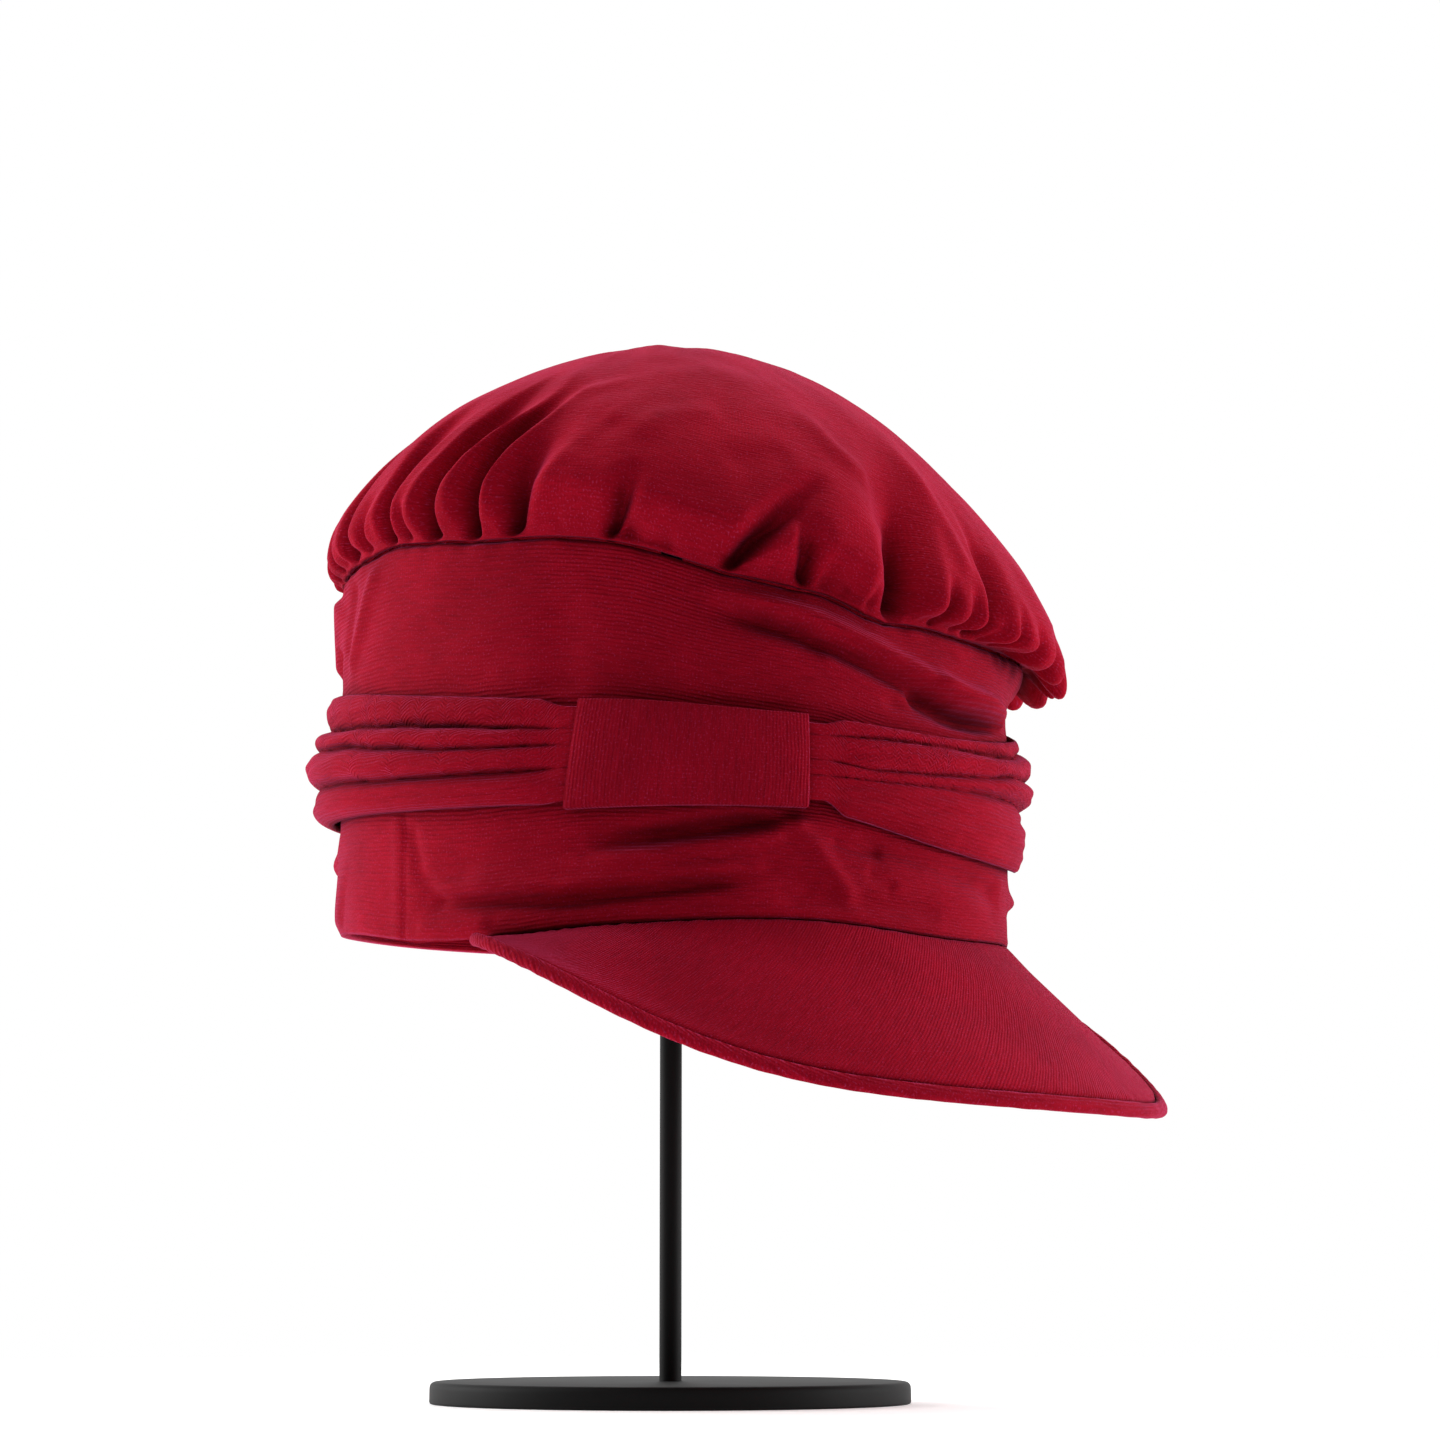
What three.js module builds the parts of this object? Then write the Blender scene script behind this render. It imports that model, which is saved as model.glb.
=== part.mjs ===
// A soft cloth cap with a full gathered crown, a pleated sash held by a keeper,
// and a sloping peak, resting on a short display stand.
// Millimetres, +Z up. The origin is the centre of the stand's foot on the floor.
// The peak points to -Y and the keeper side, the wearer's right, is -X.
import * as THREE from 'three';

// Main sizes
const HALF_LENGTH = 96;
const HALF_BREADTH = 86;
const RIM_HEIGHT = 126;
const APEX = 163;
const DOME = { power: 1.437, front: 0.052, draw: 0.946 };
const BAND_WALL = 2.6;
const CROWN_WALL = 2.2;
const GAP = 0.35;
const SEAM_GAP = 0.6;
const BACK_GAP = 0.55;

// Sash and keeper
const SASH_EDGE = 2.0;
const SASH_PROUD = 7.8;
const PLEAT_DEPTH = 2.8;
const KEEPER = { from: 29, to: 64, slant: 2.4, low: 25.2, highFront: 49.2, highBack: 53.4 };
const KEEPER_WALL = 1.2;
const KEEPER_OUT = 6.6;

// Peak
const PEAK = { halfSpan: 80.5, reach: 45.4, drop: 44.4, bow: -0.01, edge: 3.6, gap: 0.6 };
// How the peak's reach and drop fade towards its ends, and how far it points
// ahead rather than straight out.
const PEAK_FADE = { reach: 0.31, drop: 1.45, shoulder: 0.91 };
const PEAK_AIM = { out: 0.86, ahead: 0.15 };
const COVER_WALL = 1.2;
const FACING_WALL = 1.1;

// Display stand
const FOOT = { radius: 65, height: 6, edge: 2 };
const ROD_RADIUS = 3;
const SOCKET_DEPTH = 4;
const REST = { radius: 56, bottom: 133, top: 158.6, rim: 3 };

// Seams round the head. Heights are above the rim line; overhang is how far the
// crown stands out past the band, sag how far it droops below its seam, and lift
// where it is widest above the seam.
const SECTIONS = [
  { turn: 0, rim: -5.4, sashLow: 16.8, sashTop: 46.5, seam: 72.5, overhang: 16.0, sag: 4.0, lift: 5.0 },
  { turn: 30, rim: -2.6, sashLow: 25.4, sashTop: 49.4, seam: 81.6, overhang: 12.5, sag: 2.0, lift: 12.0 },
  { turn: 60, rim: -3.8, sashLow: 26.4, sashTop: 52.6, seam: 93.2, overhang: 9.5, sag: 1.0, lift: 14.0 },
  { turn: 90, rim: -6.3, sashLow: 27.8, sashTop: 57.6, seam: 99.0, overhang: 7.0, sag: 1.0, lift: 12.0 },
  { turn: 120, rim: -1.0, sashLow: 30.0, sashTop: 64.0, seam: 99.0, overhang: 5.3, sag: 0.5, lift: 7.0 },
  { turn: 150, rim: 1.5, sashLow: 31.5, sashTop: 68.0, seam: 97.0, overhang: 4.5, sag: 0.5, lift: 5.0 },
  { turn: 180, rim: 2.0, sashLow: 31.0, sashTop: 69.0, seam: 94.0, overhang: 4.5, sag: 0.5, lift: 5.0 },
  { turn: 210, rim: 1.5, sashLow: 29.0, sashTop: 66.5, seam: 90.0, overhang: 6.0, sag: 1.0, lift: 5.0 },
  { turn: 240, rim: -1.0, sashLow: 27.0, sashTop: 63.0, seam: 86.5, overhang: 9.0, sag: 2.0, lift: 4.0 },
  { turn: 270, rim: -6.0, sashLow: 25.0, sashTop: 61.0, seam: 81.5, overhang: 13.0, sag: 5.0, lift: 2.0 },
  { turn: 300, rim: -4.2, sashLow: 22.0, sashTop: 60.0, seam: 75.5, overhang: 15.5, sag: 10.0, lift: -1.0 },
  { turn: 330, rim: -4.4, sashLow: 15.5, sashTop: 51.0, seam: 71.0, overhang: 16.5, sag: 10.0, lift: -1.0 },
];

// Gathers of the crown where they were measured, by turn at the seam. Climb is
// the part of the way to the apex that a gather runs, lean its shift in turn there.
const GATHERS = [
  { turn: -31, depth: 3.4, climb: 0.35, lean: -3 },
  { turn: -20, depth: 3.4, climb: 0.4, lean: -3 },
  { turn: -10, depth: 2.2, climb: 0.35, lean: -3 },
  { turn: -3, depth: 3.2, climb: 0.4, lean: -4 },
  { turn: 6, depth: 3.6, climb: 0.45, lean: -5 },
  { turn: 16, depth: 5.2, climb: 0.5, lean: -7 },
  { turn: 25, depth: 2.2, climb: 0.3, lean: -4 },
  { turn: 30, depth: 5.0, climb: 0.4, lean: -2 },
  { turn: 41, depth: 4.8, climb: 0.4, lean: -9 },
  { turn: 60, depth: 4.6, climb: 0.3, lean: -4 },
  { turn: 67.5, depth: 2.4, climb: 0.4, lean: -3 },
  { turn: 75.5, depth: 5.2, climb: 0.6, lean: -6 },
  { turn: 83.5, depth: 5.4, climb: 0.6, lean: -7 },
  { turn: 91, depth: 3.8, climb: 0.65, lean: -12 },
  { turn: 97, depth: 2.4, climb: 0.5, lean: -8 },
  { turn: 103, depth: 3.6, climb: 0.6, lean: -6 },
  { turn: 110, depth: 3.4, climb: 0.6, lean: -4 },
  { turn: 118, depth: 3.4, climb: 0.55, lean: 0 },
];

// Gathers on the far side repeat with a slow change in spacing and depth.
const FAR_GATHERS = { from: 128, to: 320, count: 19, depth: 3.6, swing: 1.3, climb: 0.48 };

// Soft folds of the band, each along a line from one turn and height to another.
// A depth below zero stands out.
const BAND_FOLDS = [
  { turn: 68, low: 56, endTurn: 67, high: 78, depth: 1.6, width: 5 },
  { turn: 46, low: 76, endTurn: 18, high: 66, depth: -1.4, width: 5 },
  { turn: 18, low: 66, endTurn: -19, high: 50, depth: -1.6, width: 5 },
  { turn: 3, low: 52, endTurn: -26, high: 53, depth: 1.6, width: 4 },
  { turn: 23, low: 24, endTurn: 55, high: 15, depth: 1.8, width: 4 },
  { turn: 91, low: 5, endTurn: 53, high: 6, depth: 1.6, width: 3 },
  { turn: 53, low: 6, endTurn: 22, high: 10, depth: 1.6, width: 3 },
  { turn: 20, low: 20, endTurn: -23, high: 7, depth: 1.4, width: 5 },
  { turn: 111, low: 98, endTurn: 121, high: 76, depth: -1.4, width: 4 },
  { turn: 135, low: 93, endTurn: 141, high: 76, depth: -2.8, width: 13 },
  { turn: 126, low: 3, endTurn: 150, high: 20, depth: -1.2, width: 12 },
  { turn: 170, low: 88, endTurn: 176, high: 74, depth: 1.6, width: 7 },
  { turn: 215, low: 84, endTurn: 208, high: 70, depth: 1.6, width: 7 },
  { turn: 262, low: 76, endTurn: 266, high: 62, depth: 1.6, width: 6 },
  { turn: 140, low: 20, endTurn: 175, high: 12, depth: 1.6, width: 5 },
  { turn: 205, low: 12, endTurn: 245, high: 18, depth: 1.6, width: 5 },
  { turn: 265, low: 6, endTurn: 320, high: 8, depth: 1.6, width: 4 },
];

const radians = (degrees) => (degrees * Math.PI) / 180;
const clamp = (value, low, high) => Math.min(high, Math.max(low, value));
const mix = (a, b, share) => a + (b - a) * share;
const smooth = (share) => {
  const s = clamp(share, 0, 1);
  return s * s * (3 - 2 * s);
};

// Smooth closed curve through one column of the sections, by turn in degrees.
function around(column) {
  const step = 360 / SECTIONS.length;
  const value = (i) => SECTIONS[(i + 2 * SECTIONS.length) % SECTIONS.length][column];
  return (turn) => {
    const place = (((turn % 360) + 360) % 360) / step;
    const i = Math.floor(place);
    const f = place - i;
    const [a, b, c, d] = [value(i - 1), value(i), value(i + 1), value(i + 2)];
    const slope = (c - a) / 2;
    const bend = 2 * a - 5 * b + 4 * c - d;
    const twist = 3 * (b - c) + d - a;
    return b + slope * f + (bend * f * f + twist * f * f * f) / 2;
  };
}

const rim = around('rim');
const sashLow = around('sashLow');
const sashTop = around('sashTop');
const seam = around('seam');
const overhang = around('overhang');
const sag = around('sag');
const lift = around('lift');

// Point at a turn round the head, so far out from the band's oval, at a height
// above the rim line. Scale draws it in to the middle, as the dome does.
function onHead(turn, out, height, scale = 1) {
  const angle = radians(turn);
  return new THREE.Vector3(
    -(HALF_BREADTH + out) * Math.sin(angle) * scale,
    -(HALF_LENGTH + out) * Math.cos(angle) * scale,
    RIM_HEIGHT + height,
  );
}

// Shortest signed difference between two turns.
const turnBetween = (a, b) => ((((a - b + 180) % 360) + 360) % 360) - 180;

// Closed mesh from positions and triangles, with equal points shared, flat
// triangles dropped and the faces pointing out.
function closedMesh(points, triangles) {
  const seen = new Map();
  const position = [];
  const index = points.map((p) => {
    const key = `${p.x.toFixed(3)},${p.y.toFixed(3)},${p.z.toFixed(3)}`;
    if (!seen.has(key)) {
      seen.set(key, position.length / 3);
      position.push(p.x, p.y, p.z);
    }
    return seen.get(key);
  });
  const faces = triangles
    .map((triangle) => triangle.map((i) => index[i]))
    .filter(([a, b, c]) => a !== b && b !== c && c !== a);
  const corner = (i) => new THREE.Vector3().fromArray(position, 3 * i);
  const volume = faces.reduce(
    (sum, [a, b, c]) => sum + corner(a).dot(corner(b).cross(corner(c))) / 6,
    0,
  );
  const turned = volume < 0 ? faces.map(([a, b, c]) => [a, c, b]) : faces;
  const geometry = new THREE.BufferGeometry();
  geometry.setAttribute('position', new THREE.Float32BufferAttribute(position, 3));
  geometry.setIndex(turned.flat());
  geometry.computeVertexNormals();
  return geometry;
}

// Skin through a row of loops with equal counts. A closed row joins its last loop
// to its first; an open one ends in strips between the loop's two sides.
function sweep(loops, closed) {
  const count = loops[0].length;
  const points = loops.flat();
  const triangles = [];
  const rows = closed ? loops.length : loops.length - 1;
  for (let row = 0; row < rows; row += 1) {
    const here = row * count;
    const next = ((row + 1) % loops.length) * count;
    for (let i = 0; i < count; i += 1) {
      const j = (i + 1) % count;
      triangles.push([here + i, here + j, next + j], [here + i, next + j, next + i]);
    }
  }
  if (!closed) {
    const last = (loops.length - 1) * count;
    for (let i = 0; i + 1 < count - 1 - i; i += 1) {
      const [a, b, c, d] = [i, i + 1, count - 2 - i, count - 1 - i];
      triangles.push([a, c, b], [a, d, c]);
      triangles.push([last + a, last + b, last + c], [last + a, last + c, last + d]);
    }
  }
  return closedMesh(points, triangles);
}

// Crown: stations round the head, a valley at each gather and a puff between.
function crownStations() {
  const far = Array.from({ length: FAR_GATHERS.count }, (_, i) => {
    const share = i / (FAR_GATHERS.count - 1);
    return {
      turn: mix(FAR_GATHERS.from, FAR_GATHERS.to, share) + 1.6 * Math.sin(i * 2.4),
      depth: FAR_GATHERS.depth + FAR_GATHERS.swing * Math.sin(i * 1.9),
      climb: FAR_GATHERS.climb + 0.1 * Math.sin(i * 1.3),
      lean: 3 * Math.sin(i * 0.9),
    };
  });
  const valleys = [...GATHERS, ...far];
  const stations = [];
  valleys.forEach((valley, i) => {
    const next = valleys[(i + 1) % valleys.length];
    const gap = (next.turn - valley.turn + 360) % 360;
    const puffs = Math.max(1, Math.round(gap / 5) - 1);
    stations.push(valley);
    for (let k = 1; k <= puffs; k += 1) {
      const share = k / (puffs + 1);
      stations.push({
        turn: valley.turn + gap * share,
        depth: -Math.min(2.0, 0.16 * gap) * Math.sin(Math.PI * share),
        climb: mix(valley.climb, next.climb, share),
        lean: mix(valley.lean, next.lean, share),
      });
    }
  });
  return stations;
}

// Crown: outer form at a turn. Share runs from 0 at the seam to 1 where the crown
// is widest and on to 2 at the apex. Gives distance out, height and scale.
function crownForm(turn, share) {
  const base = seam(turn) + SEAM_GAP;
  const widest = seam(turn) + lift(turn);
  const out = overhang(turn);
  if (share >= 1) {
    const rise = radians(90 * (share - 1));
    return {
      out,
      height: mix(widest, APEX, Math.sin(rise) ** (DOME.power + DOME.front * Math.cos(radians(turn + 43)))),
      scale: Math.max(0, Math.cos(rise)) ** DOME.draw,
    };
  }
  const droop = 1.6 * sag(turn);
  const rise = Math.max(0, lift(turn));
  const near = 0.3 + 0.25 * Math.min(1, sag(turn) / 8);
  const lip = new THREE.CubicBezierCurve(
    new THREE.Vector2(SEAM_GAP, base),
    new THREE.Vector2(near * out, base - droop + 0.3 * rise),
    new THREE.Vector2(out, widest - 3 - 0.3 * sag(turn) - 0.2 * rise),
    new THREE.Vector2(out, widest),
  ).getPoint(share);
  return { out: lip.x, height: lip.y, scale: 1 };
}

// Crown: point on the wall, so deep below its outer face, at a gathered station.
function crownPoint(station, share, depth) {
  const climbed = share < 1 ? 0.1 * share : 0.1 + 0.9 * (share - 1);
  const turn = station.turn + station.lean * Math.min(1, climbed / 0.4);
  const form = crownForm(turn, share);
  const radius = (f) => ((HALF_BREADTH + HALF_LENGTH) / 2 + f.out) * f.scale;
  const before = crownForm(turn, Math.max(0, share - 0.02));
  const after = crownForm(turn, Math.min(2, share + 0.02));
  const along = new THREE.Vector2(radius(after) - radius(before), after.height - before.height);
  const facing = new THREE.Vector2(along.y, -along.x).normalize();
  if (share === 2) {
    return onHead(turn, 0, APEX - depth, 0);
  }
  const fade = Math.max(0, 1 - climbed / station.climb) ** 1.2 * smooth(share / 0.7);
  const push = -depth - station.depth * fade;
  const point = onHead(turn, form.out, form.height, form.scale);
  const angle = radians(turn);
  point.x -= Math.sin(angle) * facing.x * push;
  point.y -= Math.cos(angle) * facing.x * push;
  point.z += facing.y * push;
  return point;
}

// Crown: one closed strip of wall at a station, from the flange on the band's top
// edge out to the apex and back inside.
function crownLoop(station) {
  const outer = [0, 0.3, 0.65, 1, 1.1, 1.22, 1.35, 1.5, 1.65, 1.82, 2];
  const inner = [2, 1.86, 1.68, 1.48, 1.25, 1, 0.65, 0.3];
  const flange = seam(station.turn) + SEAM_GAP;
  return [
    onHead(station.turn, -BAND_WALL, flange),
    ...outer.map((share) => crownPoint(station, share, 0)),
    ...inner.map((share) => crownPoint(station, share, CROWN_WALL)),
    onHead(station.turn, -BAND_WALL, flange + CROWN_WALL),
  ];
}

function crownGeometry() {
  return sweep(crownStations().map(crownLoop), true);
}

// Band: how far its face is pushed in at a place by the folds, kept flat under
// the sash and at the two seams.
function bandFold(turn, height) {
  const radius = (HALF_BREADTH + HALF_LENGTH) / 2;
  const push = BAND_FOLDS.reduce((sum, fold) => {
    const start = new THREE.Vector2(0, fold.low);
    const end = new THREE.Vector2(radians(turnBetween(fold.endTurn, fold.turn)) * radius, fold.high);
    const here = new THREE.Vector2(radians(turnBetween(turn, fold.turn)) * radius, height);
    const line = end.clone().sub(start);
    const share = clamp(here.clone().sub(start).dot(line) / line.lengthSq(), 0, 1);
    const away = here.distanceTo(start.clone().addScaledVector(line, share));
    return sum + fold.depth * Math.exp(-((away / fold.width) ** 2));
  }, 0);
  const fromSeams = Math.min(height - rim(turn), seam(turn) - height);
  const inSash = Math.min(height - sashLow(turn) + 4, sashTop(turn) + 4 - height);
  return push * smooth(fromSeams / 5) * (1 - smooth(inSash / 3));
}

function bandLoop(turn) {
  const [low, top] = [rim(turn), seam(turn)];
  const [from, to] = [sashLow(turn), sashTop(turn)];
  const heights = [
    low,
    low + 4,
    mix(low, from, 0.42),
    mix(low, from, 0.7),
    from - 1,
    to + 1,
    mix(to, top, 0.32),
    mix(to, top, 0.62),
    top - 4,
    top,
  ];
  const inside = [top, mix(to, top, 0.4), to, from, mix(low, from, 0.5), low];
  return [
    ...heights.map((height) => onHead(turn, -bandFold(turn, height), height)),
    ...inside.map((height) => onHead(turn, -BAND_WALL - bandFold(turn, height), height)),
  ];
}

function bandGeometry() {
  const stations = Array.from({ length: 64 }, (_, i) => (i * 360) / 64);
  return sweep(stations.map(bandLoop), true);
}

// Keeper: share of the pinch it gives the sash, 1 inside and 0 well away from it.
function pinch(turn, margin) {
  const middle = (KEEPER.from + KEEPER.to) / 2;
  const half = (KEEPER.to - KEEPER.from) / 2 + KEEPER.slant;
  return 1 - smooth((Math.abs(turnBetween(turn, middle)) - half) / margin);
}

function keeperHeights(turn) {
  const share = (turn - KEEPER.from) / (KEEPER.to - KEEPER.from);
  return { low: KEEPER.low, high: mix(KEEPER.highFront, KEEPER.highBack, share) };
}

// Sash: four long pleats, drawn in under the keeper and wandering a little.
function sashLoop(turn) {
  const held = pinch(turn, 14);
  const under = pinch(turn, 5);
  const keeper = keeperHeights(turn);
  const clear = KEEPER_WALL + 2 * GAP;
  const low = mix(sashLow(turn), keeper.low + clear, under);
  const top = mix(sashTop(turn), keeper.high - clear, under);
  const back = BACK_GAP + under * clear;
  const flat = KEEPER_OUT - KEEPER_WALL - 2 * GAP;
  const proud = mix(SASH_PROUD + 0.8 * Math.sin(radians(3 * turn)), flat, held);
  const valley = mix(proud - PLEAT_DEPTH, flat - 1.3, held);
  const edge = mix(SASH_EDGE, back + 1.2, under);
  const wander = (k) => 0.018 * (1 - held) * Math.sin(radians(turn * (k + 2)) + k * 1.7);
  const full = proud + 1.6 * (1 - held);
  const outs = [edge, proud - 1, valley, full, valley + 0.6, full - 0.4, valley, proud - 1, edge];
  const outer = outs.map((out, k) => {
    const share = clamp(k / 8 + (k % 8 === 0 ? 0 : wander(k)), 0, 1);
    return onHead(turn, out, mix(low, top, share));
  });
  const inner = [1, 0.75, 0.5, 0.25, 0].map((share) => {
    const hollow = share % 1 === 0 ? 0 : Math.max(0, valley - 1.5 - back) * (1 - under);
    return onHead(turn, back + hollow, mix(low, top, share));
  });
  return [...outer, ...inner];
}

function sashGeometry() {
  const spread = Array.from({ length: 64 }, (_, i) => (i * 360) / 64);
  const near = [24, 27, 30, 63, 66.6, 69.4];
  const turns = [...spread, ...near].sort((a, b) => a - b);
  return sweep(turns.map(sashLoop), true);
}

// Keeper: a short band right round the sash. Its path is an oval with flat sides
// in the plane of the turn, walked once; each step is a strip along the turn.
function keeperGeometry() {
  const path = [
    { out: 0, rise: 0.1 },
    { out: 0.1, rise: 0 },
    { out: 0.75, rise: 0 },
    { out: 0.95, rise: 0.06 },
    { out: 1, rise: 0.3 },
    { out: 1, rise: 0.5 },
    { out: 1, rise: 0.7 },
    { out: 0.95, rise: 0.94 },
    { out: 0.75, rise: 1 },
    { out: 0.1, rise: 1 },
    { out: 0, rise: 0.9 },
    { out: 0, rise: 0.5 },
  ];
  const steps = 7;
  const strip = ({ out, rise }, wall) =>
    Array.from({ length: steps }, (_, i) => {
      const slant = KEEPER.slant * (1 - rise);
      const turn = mix(KEEPER.from, KEEPER.to + slant, i / (steps - 1));
      const { low, high } = keeperHeights(turn);
      return onHead(
        turn,
        mix(BACK_GAP + wall, KEEPER_OUT - wall, out),
        mix(low + wall, high - wall, rise),
      );
    });
  const loops = path.map((step) => [...strip(step, 0), ...strip(step, KEEPER_WALL).reverse()]);
  return sweep(loops, true);
}

// Peak: point below its upper face. Along runs from -1 to 1 over the span and
// share from 0 at the rim to 1 at the edge.
function peakTop(along, share) {
  const swing = 90 * Math.sin(radians(90 * along));
  const turn = (swing * PEAK.halfSpan) / 90;
  const near = Math.max(0, Math.cos(radians(swing)));
  const reach = Math.max(4, PEAK.reach * near ** PEAK_FADE.reach);
  const shoulder = 1 + PEAK_FADE.shoulder * Math.sin(radians(swing)) ** 2;
  const drop = PEAK.drop * near ** PEAK_FADE.drop * shoulder;
  const angle = radians(turn);
  const out = new THREE.Vector3(
    -PEAK_AIM.out * Math.sin(angle),
    -PEAK_AIM.out * Math.cos(angle) - PEAK_AIM.ahead,
    0,
  );
  const point = onHead(turn, -0.1, rim(turn) - GAP);
  point.addScaledVector(out.normalize(), reach * share);
  point.z -= drop * (share - PEAK.bow * share * (1 - share));
  return point;
}

function peakPoint(along, share, depth) {
  const held = clamp(along, -0.995, 0.995);
  const across = peakTop(held + 0.004, share + 0.01).sub(peakTop(held - 0.004, share + 0.01));
  const down = peakTop(held, share + 0.01).sub(peakTop(held, share - 0.01));
  const under = across.cross(down).normalize();
  return peakTop(along, share).addScaledVector(under, under.z > 0 ? -depth : depth);
}

const PEAK_STATIONS = Array.from({ length: 33 }, (_, i) => -1 + i / 16);

// Shares at which the cover ends and the rolled edge begins, at one station.
function peakEdge(along) {
  const slope = peakTop(along, 1).distanceTo(peakTop(along, 0));
  const cover = 1 - Math.min(0.5, PEAK.edge / slope);
  return { cover, roll: cover + PEAK.gap / slope };
}

function coverGeometry() {
  const loops = PEAK_STATIONS.map((along) => {
    const shares = [0, 0.25, 0.5, 0.75, 1].map((s) => s * peakEdge(along).cover);
    return [
      ...shares.map((share) => peakPoint(along, share, 0)),
      ...shares.reverse().map((share) => peakPoint(along, share, COVER_WALL)),
    ];
  });
  return sweep(loops, false);
}

// Facing: the underside, rolled up round the edge to meet the cover's face.
function facingGeometry() {
  const upper = COVER_WALL + PEAK.gap;
  const lower = upper + FACING_WALL;
  const loops = PEAK_STATIONS.map((along) => {
    const { cover, roll } = peakEdge(along);
    const shares = [0, 0.25, 0.5, 0.75].map((s) => s * cover);
    return [
      ...shares.map((share) => peakPoint(along, share, upper)),
      peakPoint(along, roll, upper),
      peakPoint(along, roll, 0.1),
      peakPoint(along, mix(roll, 1, 0.7), 0),
      peakPoint(along, 1, 1.2),
      peakPoint(along, mix(roll, 1, 0.8), lower - 0.2),
      ...shares.reverse().map((share) => peakPoint(along, share, lower)),
      peakPoint(along, 0, mix(upper, lower, 0.5)),
    ];
  });
  return sweep(loops, false);
}

// Stand: solids of revolution from outlines that start and end on the axis.
function turned(outline, sides) {
  const profile = outline.map(([radius, height]) => new THREE.Vector2(radius, height));
  const lathe = new THREE.LatheGeometry(profile, sides);
  const position = lathe.getAttribute('position');
  const points = Array.from({ length: position.count }, (_, i) => {
    const p = new THREE.Vector3().fromBufferAttribute(position, i);
    return new THREE.Vector3(p.x, -p.z, p.y);
  });
  const index = Array.from(lathe.getIndex().array);
  const triangles = Array.from({ length: index.length / 3 }, (_, i) => index.slice(3 * i, 3 * i + 3));
  return closedMesh(points, triangles);
}

function footGeometry() {
  const { radius, height, edge } = FOOT;
  const socket = ROD_RADIUS + GAP;
  return turned(
    [
      [0, 0],
      [radius - 1, 0],
      [radius, 1],
      [radius, height - edge],
      [radius - 0.6 * edge, height - 0.3 * edge],
      [radius - 2 * edge, height],
      [socket, height],
      [socket, height - SOCKET_DEPTH],
      [0, height - SOCKET_DEPTH],
    ],
    64,
  );
}

function rodGeometry() {
  const low = FOOT.height - SOCKET_DEPTH + GAP;
  const high = RIM_HEIGHT + REST.bottom + 2 * SOCKET_DEPTH - GAP;
  const geometry = new THREE.CylinderGeometry(ROD_RADIUS, ROD_RADIUS, high - low, 24);
  geometry.rotateX(Math.PI / 2);
  geometry.translate(0, 0, (low + high) / 2);
  return geometry;
}

// Rest: a flat-bottomed dome inside the crown that the cap sits on.
function restGeometry() {
  const { radius, bottom, top, rim: lip } = REST;
  const socket = ROD_RADIUS + GAP;
  const roof = RIM_HEIGHT + bottom + 2 * SOCKET_DEPTH;
  const dome = [1, 0.9, 0.75, 0.55, 0.3, 0].map((share) => [
    radius * share,
    RIM_HEIGHT + mix(top, bottom + lip, share ** 2),
  ]);
  return turned(
    [[0, roof], [socket, roof], [socket, RIM_HEIGHT + bottom], [radius - 1, RIM_HEIGHT + bottom], ...dome],
    48,
  );
}

function piece(name, geometry, color, roughness, metalness = 0) {
  const material = new THREE.MeshStandardMaterial({ color, roughness, metalness });
  const mesh = new THREE.Mesh(geometry, material);
  mesh.name = name;
  return mesh;
}

const cap = new THREE.Group();
cap.add(
  piece('crown', crownGeometry(), '#8a0f24', 0.95),
  piece('band', bandGeometry(), '#820c20', 0.95),
  piece('sash', sashGeometry(), '#7e0a1e', 0.95),
  piece('keeper', keeperGeometry(), '#79091a', 0.95),
  piece('peak_cover', coverGeometry(), '#7f0b20', 0.95),
  piece('peak_facing', facingGeometry(), '#7f0b20', 0.95),
);

const stand = new THREE.Group();
stand.add(
  piece('stand_foot', footGeometry(), '#141414', 0.4, 0.6),
  piece('stand_rod', rodGeometry(), '#141414', 0.35, 0.6),
  piece('stand_rest', restGeometry(), '#1c1c1c', 0.6),
);

const object = new THREE.Group();
object.add(cap, stand);

export default object;
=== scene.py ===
"""A soft knitted cap with a gathered crown, a pleated sash and a sloping peak, on a short display stand."""

import logging
import math
from collections.abc import Callable
from dataclasses import dataclass
from enum import Enum
from functools import partial

import bpy
import numpy as np
from mathutils import Matrix, Vector


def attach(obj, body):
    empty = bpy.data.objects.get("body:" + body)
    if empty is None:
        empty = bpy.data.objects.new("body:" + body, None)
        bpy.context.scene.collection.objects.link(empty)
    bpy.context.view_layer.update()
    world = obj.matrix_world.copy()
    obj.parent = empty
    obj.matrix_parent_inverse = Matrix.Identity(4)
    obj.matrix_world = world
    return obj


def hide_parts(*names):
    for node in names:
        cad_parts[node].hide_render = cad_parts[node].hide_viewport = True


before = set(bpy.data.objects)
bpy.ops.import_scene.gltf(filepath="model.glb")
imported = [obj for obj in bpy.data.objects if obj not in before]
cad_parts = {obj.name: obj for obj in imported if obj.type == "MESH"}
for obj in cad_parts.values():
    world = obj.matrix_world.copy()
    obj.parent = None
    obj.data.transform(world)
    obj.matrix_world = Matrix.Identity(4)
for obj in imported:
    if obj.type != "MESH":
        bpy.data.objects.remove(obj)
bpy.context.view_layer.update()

# Short names for what the functions take and give: numbers in a grid, an object, and its finish.
Grid = np.ndarray
Piece = bpy.types.Object
Material = bpy.types.Material

MM = 0.001
ROOT = "root"

logging.basicConfig(level=logging.INFO, format="%(message)s")
log = logging.getLogger("cap")


# Small helpers


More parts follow.
